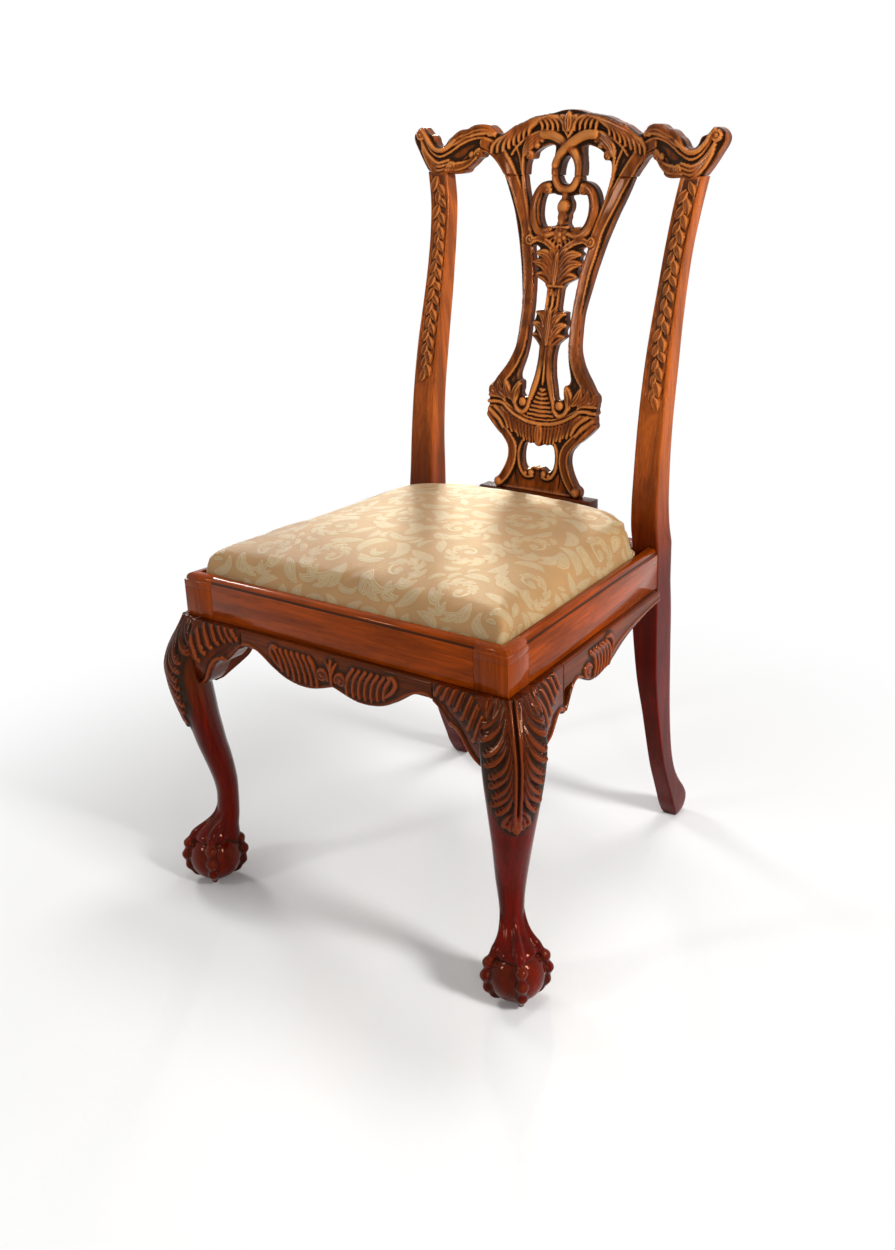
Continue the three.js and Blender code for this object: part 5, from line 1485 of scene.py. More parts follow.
def carved_leg(sizes):
    """The right cabriole leg as one skin, with the knee's leaf raised on it."""
    shapes = [leg_shaft(), web(), ball(sizes.ball_radius)] + [claw(bearing) for bearing in (0, 84, 180, 276)]
    leg = remeshed(new_piece("carved_front_leg_right", *joined(shapes)), sizes.leg_voxel)
    soft = leg.modifiers.new("Scraped", "SMOOTH")
    soft.factor = 0.5
    soft.iterations = 2
    rebuilt(leg)
    knee = Carving((-50, 225), (50, 402), 0.8)
    draw_knee(knee)
    points = points_of(leg)
    normals = np.empty(len(points) * 3, np.float32)
    leg.data.vertices.foreach_get("normal", normals)
    reach, side = leg_places(points)
    outer, inner, half, _ = smooth_table(LEG_ROWS, points[:, 2]).T
    turn = np.clip((reach - (outer + inner) / 2) / ((outer - inner) / 2), 0, 1)
    fade = np.clip(turn * 3.0, 0, 1) * np.clip((398.5 - points[:, 2]) / 2, 0, 1)
    across = side * 36 / np.maximum(half, 20) * np.interp(points[:, 2], [240, 330], [0.74, 1])
    height = knee.sample(np.maximum(knee.height, 0), across, points[:, 2]) * fade
    points += normals.reshape(-1, 3) * height[:, None]
    points[:, 2] = np.clip(points[:, 2], 0.4, rail_low - 0.5)
    set_points(leg, points)
    # the knee's tone: painted shade in the leaf's recesses, worn finish and painted highlight on its ridges
    radius = max(1, int(3.2 / knee.step))
    tone = 0.65 * (blurred(knee.height, radius) - knee.height)
    tone = np.clip(tone + 0.4 * (blurred(knee.height, 3 * radius) - knee.height), -1, 1)
    hollow = knee.sample(tone, across, points[:, 2]) * np.clip(fade * 1.3, 0, 1)
    claws_top = 66
    record(leg.data, "hollow", np.where(points[:, 2] < claws_top, claw_tones(sizes, points), hollow))
    return leg


class CHAIR_OT_front_legs(bpy.types.Operator):
    """Carves the cabriole front legs with their acanthus knees and ball-and-claw feet"""

    bl_idname = "chair.front_legs"
    bl_label = "Front legs"

    def execute(self, context):
        """Carves the right leg, adds its square top and mirrors both."""
        sizes = context.scene.chair_sizes
        finishes = context.scene.chair_finishes
        leg = carved_leg(sizes)
        pale = tinted(finishes.rail, (0.24, 0.2, 0.4))
        # painted shade in the knee's and claws' recesses, worn finish and painted highlight on their ridges
        looks = {"painted_shade_strength": 1.35, "turn": 0.7, "wear_and_highlight": 0.8, "worn_and_highlit": (0.15, 0.026, 0.005)}
        looks["foot"] = (225, 330, finishes.leg)
        leg.data.materials.append(wood("Dark red mahogany", pale, tinted(pale, 0.4), finishes, **looks))
        top = crisped(new_piece("stile", *front_stile(sizes)))
        pale, deep = tinted(finishes.rail, 0.82), tinted(finishes.rail, 0.6)
        top.data.materials.append(wood("Stile mahogany", pale, deep, finishes, turn=1.9))
        leg = merged_pieces(leg, top)
        leg.name = leg.data.name = "carved_front_leg_right"
        dress_both(leg, None, "front_leg")
        return {"FINISHED"}


# Rails, aprons and knee blocks


def rail_section(thickness):
    """A rail's section from its outer face inward, with the moulded edge and the slip seat's rebate."""
    ledge = rail_top - rebate_depth
    top = [(inset, rail_top - bead_height + z) for inset, z in BEAD]
    back = [(lip_width, rail_top), (lip_width, ledge), (thickness, ledge), (thickness, rail_low)]
    return [(0, rail_low)] + top + back


def moulded(name, section, start, end, place):
    """A moulding of a section from start to end, with painted shade in the quirk under its bead."""
    rings = []
    for along in (end, start):
        rings.append([place(np.float64(along), np.float64(d), np.float64(z)) for d, z in section])
    # painted shade: the thin crease under the bead is darkened
    quirk = [0.75 if abs(d - QUIRK) < 0.01 else 0 for d, z in section]
    return new_piece(name, *capped(rings), quirk * 2)


def shoe_section():
    """The splat shoe's section: a hollow below, a roll on top and a plain back."""
    low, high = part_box("splat_shoe")
    y0, y1 = low.y / mm - front_face, high.y / mm - front_face
    z0, z1 = low.z / mm, high.z / mm
    rise = z1 - z0
    section = [(y0, z0)]
    for t in np.linspace(0, 1, 9):
        section.append((y0 + 6 * math.sin(t * math.pi / 2), z0 + 3 + rise * 0.62 * t))
    section += [(y0 + 3, z1 - 10), (y0 + 3, z1 - 8)]
    for t in np.linspace(0, 1, 6):
        section.append((y0 + 4.6 - 3.4 * math.cos(t * math.pi / 2), z1 - 8 + 7 * math.sin(t * math.pi / 2)))
    return section + [(y0 + 6, z1), (y1, z1), (y1, z0)], (high.x - low.x) / 2 / mm


class CHAIR_OT_rails(bpy.types.Operator):
    """Planes the front and side rails with their moulded edge, and the shoe that holds the splat"""

    bl_idname = "chair.rails"
    bl_label = "Rails and shoe"

    def execute(self, context):
        """Runs each section along its rail."""
        sizes = context.scene.chair_sizes
        finishes = context.scene.chair_finishes
        pale, deep = finishes.rail, tinted(finishes.rail, 0.5)
        stile, thickness = 48, 26
        half = sizes.seat_front / 2 - stile
        length = math.hypot(post_front, (sizes.seat_front - sizes.seat_rear) / 2)

        def across_front(x, depth, z):
            return np.array([-x, depth, z])

        front = crisped(moulded("moulded_front_rail", rail_section(thickness), -half, half, across_front))
        place = side_frame(sizes)
        right = crisped(moulded("moulded_side_rail_right", rail_section(thickness), length, stile, place))
        across = wood("Front rail mahogany", pale, deep, finishes, (1, 0, 0), turn=0.4)
        along = (*side_direction(sizes), 0)
        lengthwise = wood("Side rail mahogany", pale, deep, finishes, along, turn=1.1)
        dress(front, "chair_frame", across, ["front_seat_rail"])
        dress_both(right, lengthwise, "side_seat_rail")
        section, reach = shoe_section()
        shoe = crisped(moulded("moulded_shoe", section, -reach, reach, across_front))
        pale = tinted(finishes.rail, 0.35)
        dark = wood("Shoe mahogany", pale, tinted(pale, 0.4), finishes, (1, 0, 0), turn=0.9)
        dress(shoe, "chair_frame", dark, ["splat_shoe"])
        for slot in nodes["rear_seat_rail"].material_slots:
            slot.material = across
        return {"FINISHED"}


BLOCK_PETALS = [(160, 384), (170, 381), (180, 378), (191, 373), (202, 366), (212, 357), (221, 345)]
SIDE_PETALS = [(94, 373), (84, 369), (74, 362), (64, 353), (54, 342), (44, 330)]


def draw_front_apron(face):
    """The carving along the front rail, drawn for the right half and mirrored; x from the middle."""
    ridge = face.ridge
    ridge([(0, 357.5, 2), (16, 352, 2.2), (36, 347, 2.4), (56, 346.5, 2.4), (78, 351, 2.4), (98, 361, 2.2),
           (118, 374, 2), (136, 380.5, 1.9), (146, 381, 1.9), (156, 376, 2), (168, 365, 2.2),
           (177, 356.5, 2.6), (183, 352, 2.4)], 1.5, 0.3)
    ridge([(180, 353.5, 2.4), (187, 353.5, 3.2), (195, 350.5, 3.6), (203, 342, 3.6), (210, 330, 3.4),
           (217, 319, 3.0), (226, 311, 2.6), (238, 306, 2.2)], 3, 0.8)
    face.button(184, 354, 4.2, 3, 1)
    face.volute(15, 368, 9, 3, 3, 0.8, -1, 200)
    ridge([(0, 359, 1.6), (0, 366, 3), (0, 374, 2.2)], 3.4, 1.2)
    ridge([(1.5, 374, 1.4), (3.5, 381, 2.4), (8, 388, 1.6)], 2.8, 1.2)
    ridge([(0, 377, 1.4), (0, 384, 2.4), (0, 392, 1.2)], 3.4, 1.6)
    face.button(0, 374, 3.2, 3.6, 1.6)
    for k in range(7):
        x = 27 + 9.6 * k
        low = 352.5 if k < 5 else 352.5 + 3.6 * (k - 4)
        ridge([(x - 3, low, 2.2), (x - 3, 362, 3.2), (x + 1, 376, 3.8), (x + 8, 386.5, 3.0)], 3.2, 0.8, 0.15)
        ridge([(x + 1, low + 3, 0.9), (x + 1.4, 363, 1.1), (x + 5, 375, 1.1)], 1.4, 0.9)
    ridge([(86, 364, 2), (94, 371, 3), (100, 381, 3.2), (97, 389, 2.8), (90, 389, 2.2)], 3, 0.8)
    for k, (x, low) in enumerate(BLOCK_PETALS):
        high = low + 19 + 2 * k
        ridge([(x + 11, high + 2, 1.8), (x + 7, (high + low) / 2 + 4, 2.9), (x + 2, low + 4, 3.2),
               (x - 1.5, low, 2.6), (x - 2, low + 3, 1.4)], 3.4, 0.6, 0.2)
        ridge([(x + 14, high, 1), (x + 11, (high + low) / 2 + 2, 1.3), (x + 7, low + 3, 1.2)], 1.8, 0.6)
    face.groove([(170, 376, 1.3), (180, 368, 1.3), (192, 360, 1.3), (202, 350, 1.3), (209, 338, 1.3),
                 (216, 326, 1.2)], 1.3)


def draw_side_apron(face):
    """The carving along a side rail; x from the chair's front corner."""

    def ridge(points, rise, lift=0.0, sharp=0.0):
        face.ridge(points, rise, lift, sharp, mirror=False)

    ridge([(34, 302, 2.4), (48, 308, 2.8), (68, 316, 3), (80, 322, 3.2), (88, 332, 3.4), (97, 341, 3.4),
           (107, 343, 3.2), (116, 339, 3)], 2.8, 0.6)
    ridge([(112, 338, 2.4), (121, 335, 2.8), (128, 342, 2.6), (135, 352, 2.4), (144, 362, 2.2),
           (154, 366, 2), (166, 363, 2), (180, 355, 2)], 2.2, 0.5)
    ridge([(180, 355, 2), (196, 349, 2.2), (214, 347.5, 2.2), (232, 352, 2.2), (252, 362, 2),
           (280, 372, 1.9), (320, 379, 1.8), (370, 384, 1.8), (412, 386, 1.8)], 1.4, 0.2)
    face.button(116, 339.5, 4.4, 3, 1, mirror=False)
    face.volute(181, 364, 10, 3.2, 3, 0.8, 1, 20, mirror=False)
    for k in range(6):
        u = 191 + 8.6 * k
        ridge([(u - 1, 387, 3), (u + 8, 379, 3.6), (u + 12, 366, 3.4), (u + 9, 353, 2.4)], 3.2, 0.8, 0.15)
        ridge([(u + 3, 386, 1), (u + 12, 378, 1.1), (u + 15.6, 366, 1)], 1.4, 0.9)
    ridge([(238, 391, 2.4), (248, 389, 3.2), (254, 380, 3.2), (252, 369, 2.4)], 3, 0.8)
    for k, (u, low) in enumerate(SIDE_PETALS):
        high = low + 30 + 2.5 * k
        line = [(u - 12, high, 2.0), (u - 3, (high + low) / 2 + 6, 3.1), (u + 6, low + 6, 3.4),
                (u + 11, low, 2.8), (u + 12.5, low + 3.5, 1.5)]
        ridge(line, 3.6, 0.6, 0.2)
        ridge([(a - 1, b + 6.4, 0.42 * w) for a, b, w in line[:4]], 2.2, 0.8)


PLAIN = 8  # how far an apron stands proud of the rail's face
FRONT_BLOCK_EDGE = [
    (164, 368), (173, 360), (183, 352), (195, 350), (203, 341), (210, 329), (217, 318), (226, 309),
    (240, 303),
]
SIDE_BLOCK_EDGE = [
    (34, 300), (48, 306), (68, 314), (80, 321), (88, 331), (97, 341), (107, 343), (116, 339), (121, 335),
    (128, 342),
]


def bulged(proud, z):
    """How far the knee blocks stand out of the rail at a height, where they stand proud by the most."""
    heights = [290, 305, 320, 335, 350, 368, 386, 398]
    return PLAIN + (proud - PLAIN) * np.interp(z, heights, [-0.4, 0.05, 0.4, 0.75, 0.95, 0.85, 0.5, 0.2])


def front_carvings(sizes, across, dark):
    """The front apron and the knee blocks beside it, of one drawing."""
    half = sizes.seat_front / 2
    edge = half - 102.3
    top = rail_low - 0.4

    def on_rail(x, depth, z):
        proud = np.interp(half - np.abs(x), [20, 40, 52, 65, 77, 90, 103],
                          [24.5, 20, 16.8, 13.2, 10.6, 8.8, 8])
        return np.stack([x, np.minimum(depth - bulged(proud, z), 16), z], -1)

    face = Carving((-edge - 3, 335), (edge + 3, 400), sizes.carving_step)
    face.cover_nodes(["front_apron"], lambda p: (p[:, 0], p[:, 1] + PLAIN, p[:, 2]))
    face.cover_shape([(-edge - 4, 376), (edge + 4, 376), (edge + 4, 398), (-edge - 4, 398)])
    draw_front_apron(face)
    keep = np.minimum((edge - np.abs(face.X)) * 12, (top - face.Z) * 2)
    apron = face.solid("carved_front_apron", on_rail, 40, 2.4, keep)
    dress(apron, "chair_frame", across, ["front_apron"])
    face = Carving((edge - 4, 292), (half - 22, 400), sizes.carving_step)
    face.cover_shape([(edge - 5, 400), (edge - 5, 375)] + FRONT_BLOCK_EDGE + [(240, 400)])
    draw_front_apron(face)
    keep = np.minimum((face.X - edge - 0.3) * 12, (top - face.Z) * 2)
    block = face.solid("carved_front_knee_block_right", on_rail, 60, 3, keep)
    dress_both(block, dark, "front_knee_block")


def side_carvings(sizes, lengthwise, dark):
    """The side aprons and the knee blocks before them, of one drawing."""
    place, run = side_frame(sizes), side_direction(sizes)
    half = sizes.seat_front / 2
    seam = 118.3
    top = rail_low - 0.4

    def on_rail(u, depth, z):
        proud = np.interp(u, [20, 40, 56, 71, 87, 102, 118], [24.5, 20, 17, 14, 11.2, 9.2, 8])
        return place(u, np.minimum(depth - bulged(proud, z), 16), z)

    def along_rail(p):
        x, y = p[:, 0] - half, p[:, 1]
        return x * run[0] + y * run[1], x * -run[1] + y * run[0] + PLAIN, p[:, 2]

    face = Carving((seam - 2, 335), (415, 400), sizes.carving_step)
    face.cover_nodes(["side_apron_right"], along_rail)
    face.cover_shape([(seam - 3, 341), (seam + 4, 341), (seam + 4, 398), (seam - 3, 398)])
    draw_side_apron(face)
    keep = np.minimum(np.minimum((face.X - seam - 0.2) * 12, (top - face.Z) * 2), (409 - face.X) * 4)
    apron = face.solid("carved_side_apron_right", on_rail, 40, 2.4, keep)
    dress_both(apron, lengthwise, "side_apron")
    face = Carving((22, 280), (seam + 3, 400), sizes.carving_step)
    face.cover_shape([(10, 400), (10, 298)] + SIDE_BLOCK_EDGE + [(128, 400)])
    draw_side_apron(face)
    keep = np.minimum((seam - 0.1 - face.X) * 12, (top - face.Z) * 2)
    block = face.solid("carved_side_knee_block_right", on_rail, 60, 3, keep)
    dress_both(block, dark, "side_knee_block")


class CHAIR_OT_aprons(bpy.types.Operator):
    """Carves the shaped aprons with their shells, and the knee blocks that lead to the legs"""

    bl_idname = "chair.aprons"
    bl_label = "Aprons and knee blocks"

    def execute(self, context):
        """Carves the front and the right side from one drawing each, and mirrors the side."""
        sizes = context.scene.chair_sizes
        finishes = context.scene.chair_finishes
        pale, deep = tinted(finishes.rail, 0.5), tinted(finishes.rail, 0.2)
        # the aprons' ridges take a worn finish and painted highlight
        across = wood("Apron mahogany", pale, deep, finishes, (1, 0, 0), wear_and_highlight=0.8, turn=0.2)
        along = (*side_direction(sizes), 0)
        lengthwise = wood("Side apron mahogany", pale, deep, finishes, along, wear_and_highlight=0.8, turn=0.8)
        pale = tinted(finishes.rail, (0.4, 0.33, 0.7))
        # worn finish and painted highlight on the knee blocks' ridges
        looks = {"wear_and_highlight": 0.9, "turn": 0.5, "worn_and_highlit": (0.2, 0.036, 0.007)}
        dark = wood("Knee mahogany", pale, tinted(pale, 0.4), finishes, **looks)
        front_carvings(sizes, across, dark)
        side_carvings(sizes, lengthwise, dark)
        return {"FINISHED"}


# The slip seat


def seat_plan(sizes, inset=2.2):
    """The plan of the slip seat, drawn in from its rebate: half width at each y, and its front and rear."""
    rear_edge = 429.5

    def half(y):
        plain = half_width(sizes, y, lip_width + inset)
        neck = sizes.seat_rear / 2 - 49 - inset
        return plain + (neck - plain) * eased(np.clip((y - (post_front - post_depth)) / 36, 0, 1))

    return half, lip_width + inset, rear_edge - inset


def plain_pad(sizes, edge_top):
    """The slip seat's crowned pad as a coarse closed grid."""
    half, y0, y1 = seat_plan(sizes)
    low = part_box("seat_cover")[0].z / mm
    count = 60
    share = np.linspace(-1, 1, count)
    share = np.sign(share) * (1 - (1 - np.abs(share)) ** 1.25)
    across, along = np.meshgrid(share, share)
    y = (y0 + y1) / 2 + (y1 - y0) / 2 * along
    x = across * half(y)
    inside = np.minimum(1 - np.abs(across), 1 - np.abs(along)) * 200
    roll = 24.0
    round_edge = np.sqrt(np.clip(1 - (1 - inside / roll) ** 2, 0, 1))
    drop = np.where(inside < roll, (1 - round_edge) * 15, 0)
    dome = (1 - np.abs(across) ** 2.6) * (1 - np.abs(along - 0.08) ** 3)
    rear = np.clip((along + 0.2) / 1.1, 0, 1)
    z = edge_top + sizes.puff * 0.3 + sizes.crown * dome - drop + 8 * eased(rear)
    top = np.stack([x, y, z], -1).reshape(-1, 3)
    bottom = np.stack([x * 0.995, y, np.full_like(z, low)], -1).reshape(-1, 3)
    i, j = np.meshgrid(np.arange(count - 1), np.arange(count - 1), indexing="ij")
    a = (i * count + j).ravel()
    quads = np.stack([a, a + 1, a + count + 1, a + count], -1)
    faces = quads.tolist() + (quads[:, ::-1] + count * count).tolist()
    index = np.arange(count * count).reshape(count, count)
    ring = [*index[0, :-1], *index[:-1, -1], *index[-1, :0:-1], *index[:0:-1, 0]]
    for p, q in zip(ring, ring[1:] + ring[:1]):
        faces.append([q, p, p + count * count, q + count * count])
    return new_piece("damask_seat", np.vstack([top, bottom]), faces)


def settle(scene, pad):
    """Lets the pad swell as cloth, by at most 7 mm and only above the rails."""
    start = points_of(pad)
    fabric = pad.modifiers.new("Cloth", "CLOTH").settings
    fabric.use_pressure = True
    fabric.uniform_pressure_force = 3.0
    fabric.effector_weights.gravity = 0
    fabric.quality = 6
    for step in range(1, 17):
        scene.frame_set(step)
    rebuilt(pad)
    scene.frame_set(1)
    moved = points_of(pad) - start
    far = np.linalg.norm(moved, axis=1)[:, None]
    moved *= np.minimum(1, 7 / np.maximum(far, 1e-6))
    moved *= np.clip((start[:, 2:] - rail_top + 2) / 14, 0, 1)
    set_points(pad, start + moved)


class CHAIR_OT_slip_seat(bpy.types.Operator):
    """Upholsters the slip seat in damask over its padding"""

    bl_idname = "chair.slip_seat"
    bl_label = "Slip seat"

    def execute(self, context):
        """Inflates a crowned pad as cloth and weaves the damask's figure into it."""
        sizes = context.scene.chair_sizes
        finishes = context.scene.chair_finishes
        edge_top = rail_top + sizes.puff * 0.6
        pad = plain_pad(sizes, edge_top)
        remeshed(pad, 6.0)
        settle(context.scene, pad)
        finer = pad.modifiers.new("Finer", "SUBSURF")
        finer.levels = finer.render_levels = 2
        rebuilt(pad)
        points = points_of(pad)
        figure = damask(unrolled(sizes, points, edge_top + 5))
        points[:, 2] += np.clip(figure, 0, 1) * np.clip((points[:, 2] - rail_top - 2) / 6, 0, 1) * 0.25
        set_points(pad, points)
        record(pad.data, "figure", figure)
        material = cloth("Damask", finishes.cloth, finishes.figure, 850, 0.44, 0.05, 0.35)
        dress(pad, "slip_seat", material, ["seat_cover", "seat_padding"])
        return {"FINISHED"}


def bent_leaf(place, bearing, long, wide, bend):
    """The path of a tapered leaf of the damask, bent along its length."""
    t = np.linspace(0, 1, 14)
    turn = bearing + bend * t
    steps = np.stack([np.cos(turn), np.sin(turn)], -1) * long / 13
    path = np.array(place) + np.vstack([[0, 0], np.cumsum(steps[:-1], axis=0)])
    width = 0.8 + wide * np.sin(np.pi * np.minimum(1, 0.06 + t**0.8 * 0.94)) ** 0.8
    return np.column_stack([path, width])


def leafy_scroll(face, x, y, start, size, turn):
    """A scroll of the damask: a winding stem with bent leaves on both its sides."""
    t = np.linspace(0, 1, 60)
    reach = size * (1 - 0.8 * t)
    bearing = math.radians(start) + turn * t * 2.5 * math.pi
    stem = np.stack([x + reach * np.cos(bearing), y + reach * np.sin(bearing), 2.6 - 0.8 * t], -1)
    face.ridge(stem, 1, smooth=False)
    face.button(x, y, size * 0.17, 1)
    for share in np.linspace(0.0, 0.66, 9):
        k = int(share * 59)
        root = stem[k, :2]
        way = bearing[k] + turn * math.pi / 2
        long = size * (0.95 - 0.85 * share)
        for out, grow in ((-0.75, 1.0), (-0.2, 0.72)):
            leaf = bent_leaf(root, way + turn * out, long * grow, long * 0.18 * grow, turn * 1.5)
            face.ridge(leaf, 1, smooth=False)
        if share > 0.1:
            leaf = bent_leaf(root, way + turn * 0.5, long * 0.45, long * 0.14, turn * 1.6)
            face.ridge(leaf, 1, smooth=False)


def unrolled(sizes, points, level):
    """Places on the flat cloth of points, with what hangs down the sides laid outward."""
    half, y0, y1 = seat_plan(sizes)
    x, y = points[:, 0], points[:, 1]
    hang = np.clip(level - points[:, 2], 0, 30)
    beside = np.clip((np.abs(x) - half(y) + 20) / 16, 0, 1) * np.sign(x)
    ends = np.clip((y - y1 + 20) / 16, 0, 1) - np.clip((y0 + 20 - y) / 16, 0, 1)
    return np.stack([x + hang * beside, y + hang * ends], -1)


SCROLLS = [  # middle, start angle, size and turn
    (54, 62, 200, 34, 1), (152, 50, 330, 31, -1), (104, 136, 90, 33, -1), (206, 122, 210, 30, 1),
    (44, 196, 250, 31, 1), (152, 208, 20, 35, -1), (94, 276, 120, 32, -1), (204, 286, 240, 30, 1),
    (42, 340, 160, 31, 1), (148, 350, 300, 32, 1), (92, 414, 40, 30, -1), (196, 420, 100, 30, -1),
]


def damask(points):
    """How far inside the woven leaves each point lies, in mm; they are mirrored about the seat's middle."""
    face = Carving((-284, -38), (284, 472), 1.2)
    for scroll in SCROLLS:
        leafy_scroll(face, *scroll)
    rng = np.random.default_rng(7)
    for k in range(1500):
        long = (46 - 0.021 * k) * rng.uniform(0.85, 1.15)
        place = rng.uniform(3, 278), rng.uniform(-34, 468)
        leaf = bent_leaf(place, rng.uniform(0, 6.3), long, long * 0.17, rng.uniform(-2.2, 2.2))
        if (face.sample(face.edge, leaf[:, 0], leaf[:, 1]) < -leaf[:, 2] - 1.4).all():
            face.ridge(leaf, 1, smooth=False)
    return np.clip(face.sample(face.edge, points[:, 0], points[:, 1]), -2, 9)


def cover_tacks(material):
    """The tacks round the dust cover's edge."""
    low, high = (corner / mm - Vector((0, front_face, 0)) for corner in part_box("dust_cover"))
    margin = 7
    front = high.x - margin
    rear = front - 0.0903 * (high.y - low.y)
    y0, y1, z = low.y + margin, high.y - margin, low.z - 0.1
    line = [(-front, y0, z), (front, y0, z), (rear, y1, z), (-rear, y1, z), (-front, y0, z)]
    return strung("cover_tacks", [line], {
        "Piece": tack_piece(4.5),
        "Spacing": 38 * mm,
        "Follow": 0.0,
        "Axis": (0, 0, 1),
        "Unevenness": 6.0,
        "Smallest": 0.95,
        "Largest": 1.05,
        "Seed": 5,
        "Material": material,
    })


class CHAIR_OT_underside(bpy.types.Operator):
    """Finishes the seat frame, webbing, blocks and dust cover under the seat"""

    bl_idname = "chair.underside"
    bl_label = "Underside"

    def execute(self, context):
        """Gives the frame's own pieces their woods and cloths, and tacks the dust cover on."""
        plated = steel("Dulled steel")
        across = raw_wood("Beech across", (1, 0, 0))
        looks = {
            "block_screw": plated,
            "corner_block": across,
            "slip_seat_frame_front": across,
            "slip_seat_frame_rear": across,
            "slip_seat_frame_side": raw_wood("Beech lengthwise", (0, 1, 0)),
            "webbing": cloth("Jute webbing", (0.3, 0.2, 0.1), None, 420, 0.85, 0, 0.6),
            "dust_cover": cloth("Black lining", (0.012, 0.011, 0.01), None, 1200, 0.9, 0.1, 0.3),
        }
        for name, piece in nodes.items():
            material = next((look for part, look in looks.items() if part in name), None)
            if material:
                for slot in piece.material_slots:
                    slot.material = material
        dress(cover_tacks(plated), "slip_seat", plated)
        return {"FINISHED"}


def set_camera(scene):
    """Stands the camera in front of the chair's right corner, a little turned about its own axis."""
    data = bpy.data.cameras.new("Camera")
    camera = linked("Camera", data)
    scene.camera = camera
    yaw, pitch, roll = math.radians(-33.2), math.radians(21.0), math.radians(-0.34)
    level = math.cos(pitch)
    ahead = Vector((math.sin(yaw) * level, math.cos(yaw) * level, -math.sin(pitch)))
    right = Vector((math.cos(yaw), -math.sin(yaw), 0))
    up = right.cross(ahead)
    rolled_right = math.cos(roll) * right + math.sin(roll) * up
    rolled_up = -math.sin(roll) * right + math.cos(roll) * up
    turn = Matrix((rolled_right, rolled_up, -ahead)).transposed().to_4x4()
    place = Vector((1023.1, -1093.1 + front_face, 998.6)) * mm
    camera.matrix_world = Matrix.Translation(place) @ turn
    data.lens = 37.84
    data.sensor_width = 36
    data.shift_x = -0.08
    data.clip_end = 50


def background_rays(tree):
    """1 for a ray of the camera, or one that a reflection or glass sends on, and 0 for any other."""
    rays = add(tree, "ShaderNodeLightPath").outputs
    seen = sums(tree, "MAXIMUM", rays["Is Camera Ray"], rays["Is Transmission Ray"])
    return sums(tree, "MAXIMUM", seen, rays["Is Glossy Ray"])


def floor_paper():
    """Pale paper that turns white away from the chair, and is clear from below."""
    paper, tree, shader, place = new_material("Floor paper")
    grain = remapped(tree, cloudy(tree, place, 900, 2), 0.3, 0.7, 0.985, 1.0)
    tint = mixed(tree, 1.0, (0.8, 0.795, 0.79, 1), grey(tree, grain), "MULTIPLY")
    wire(tree, shader, {"Base Color": tint, "Roughness": 0.8, "Specular IOR Level": 0.1})
    away = add(tree, "ShaderNodeVectorMath", {0: place}, operation="LENGTH").outputs["Value"]
    away = remapped(tree, away, 0.45, 1.1, smooth=True)
    fade = sums(tree, "MULTIPLY", away, background_rays(tree))
    white = add(tree, "ShaderNodeEmission", {"Color": (1, 1, 1, 1), "Strength": 1.0}).outputs[0]
    blend = add(tree, "ShaderNodeMixShader", {0: fade, 1: shader.outputs[0], 2: white}).outputs[0]
    below = add(tree, "ShaderNodeNewGeometry").outputs["Backfacing"]
    clear = add(tree, "ShaderNodeBsdfTransparent").outputs[0]
    blend = add(tree, "ShaderNodeMixShader", {0: below, 1: blend, 2: clear}).outputs[0]
    tree.links.new(blend, tree.nodes["Material Output"].inputs["Surface"])
    return paper


def lay_floor():
    """Lays the floor under the chair."""
    size = 14
    floor = bpy.data.meshes.new("floor")
    corners = [(-size, -size, 0), (size, -size, 0), (size, size, 0), (-size, size, 0)]
    floor.from_pydata(corners, [], [(0, 1, 2, 3)])
    floor.materials.append(floor_paper())
    ground = linked("floor", floor)


def set_world(scene):
    """Makes the surroundings white to see, and a weak fill light on what they shine on."""
    world = bpy.data.worlds.new("Studio")
    scene.world = world
    world.use_nodes = True
    tree = world.node_tree
    diffuse = add(tree, "ShaderNodeLightPath").outputs["Is Diffuse Ray"]
    fill = sums(tree, "MULTIPLY", diffuse, 0.27)
    strength = sums(tree, "MAXIMUM", background_rays(tree), fill)
    wire(tree, tree.nodes["Background"], {"Color": (1, 1, 1, 1), "Strength": strength})


LAMPS = (  # name, place, size, power, spread in degrees and colour
    ("key", (2.9, -0.3, 2.0), 0.65, 100, 180, (1, 1, 1)),
    ("front", (-1.5, -2.6, 1.7), 0.4, 18, 180, (1, 1, 1)),
    ("top", (0.1, 0.9, 2.8), 0.8, 24, 180, (1, 1, 1)),
    ("window", (-2.6, 0.7, 1.6), 0.7, 34, 180, (1, 1, 1)),
    ("low", (2.2, -2.0, 0.9), 0.3, 9, 180, (1, 1, 1)),
    ("seat", (-1.75, 2.45, 1.62), 0.6, 0.7, 12, (1, 0.91, 0.66)),
)


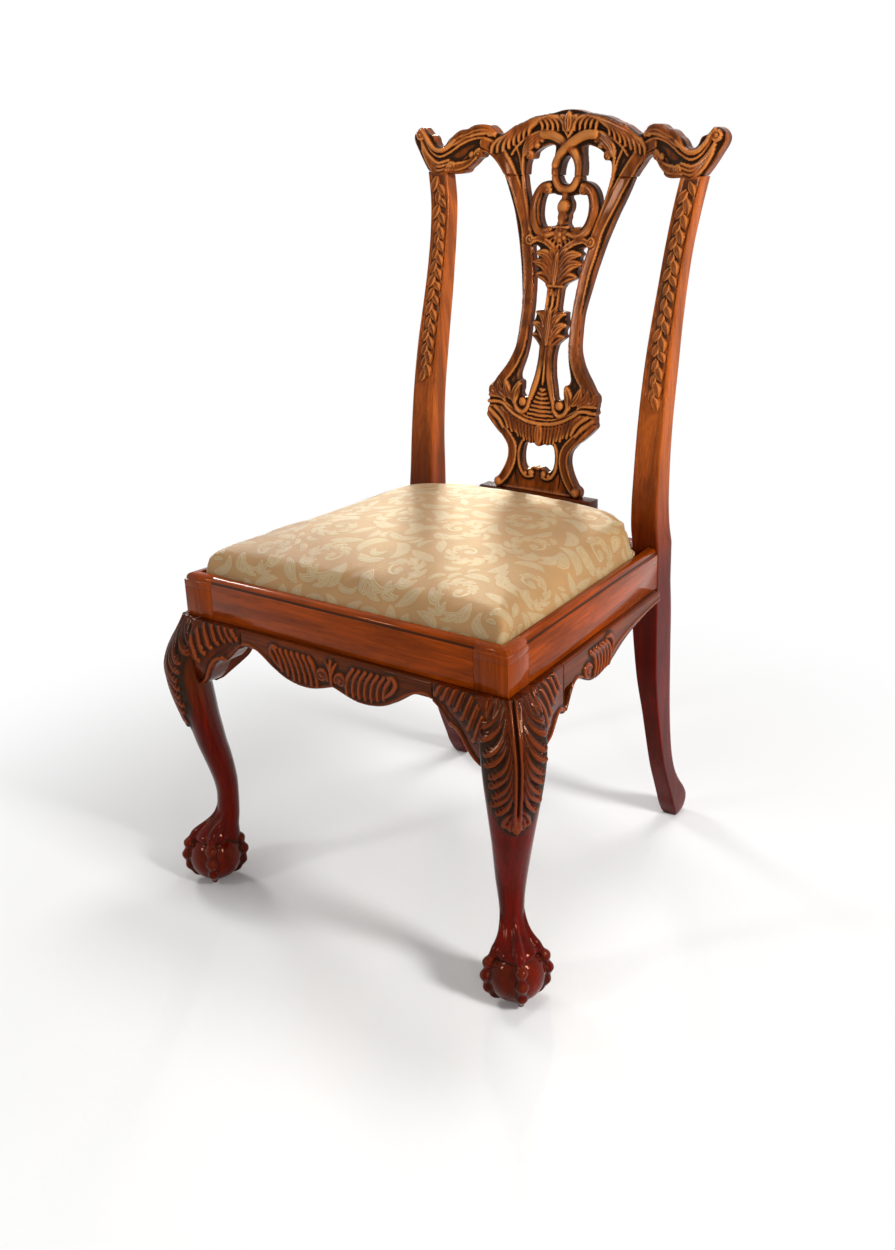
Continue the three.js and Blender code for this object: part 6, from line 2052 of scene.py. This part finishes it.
def hang_lamps():
    """Hangs the square lamps, which all point at the seat frame."""
    target = Vector((0, 0, 0.5))
    for name, spot, size, power, spread, tint in LAMPS:
        data = bpy.data.lights.new(name, "AREA")
        data.shape = "SQUARE"
        data.size = size
        data.energy = power
        data.spread = math.radians(spread)
        data.color = tint
        lamp = linked(name, data)
        lamp.location = spot
        lamp.rotation_euler = (target - Vector(spot)).to_track_quat("-Z", "Y").to_euler()


class CHAIR_OT_stage(bpy.types.Operator):
    """Sets the floor, the lamps and the camera"""

    bl_idname = "chair.stage"
    bl_label = "Stage"

    def execute(self, context):
        """Lights the chair in a plain pale studio."""
        set_camera(context.scene)
        lay_floor()
        set_world(context.scene)
        hang_lamps()
        context.scene.view_settings.view_transform = "Standard"
        return {"FINISHED"}


class CHAIR_PT_panel(bpy.types.Panel):
    """Sizes, finishes and pieces of the chair"""

    bl_idname = "CHAIR_PT_panel"
    bl_label = "Carved side chair"
    bl_space_type = "VIEW_3D"
    bl_region_type = "UI"
    bl_category = "Chair"

    def draw(self, context):
        """Lists the sizes, the colours and the pieces."""
        layout = self.layout
        for group in (context.scene.chair_sizes, context.scene.chair_finishes):
            box = layout.box()
            for name in group.__annotations__:
                box.prop(group, name)
        for piece in PIECES:
            layout.operator(piece.bl_idname)


PIECES = (
    CHAIR_OT_stage,
    CHAIR_OT_back,
    CHAIR_OT_posts,
    CHAIR_OT_front_legs,
    CHAIR_OT_rails,
    CHAIR_OT_aprons,
    CHAIR_OT_slip_seat,
    CHAIR_OT_underside,
)
CLASSES = (ChairSizes, ChairFinishes, *PIECES, CHAIR_PT_panel)


def register():
    """Adds the chair's sizes, colours, operators and panel."""
    for kind in CLASSES:
        bpy.utils.register_class(kind)
    bpy.types.Scene.chair_sizes = bpy.props.PointerProperty(type=ChairSizes)
    bpy.types.Scene.chair_finishes = bpy.props.PointerProperty(type=ChairFinishes)


def unregister():
    """Removes them."""
    del bpy.types.Scene.chair_finishes
    del bpy.types.Scene.chair_sizes
    for kind in reversed(CLASSES):
        bpy.utils.unregister_class(kind)


def main():
    """Builds the whole chair in order."""
    register()
    wood_group()
    weave_group()
    strung_group()
    for piece in PIECES:
        getattr(bpy.ops.chair, piece.bl_idname.split(".")[1])()


if __name__ == "__main__":
    main()
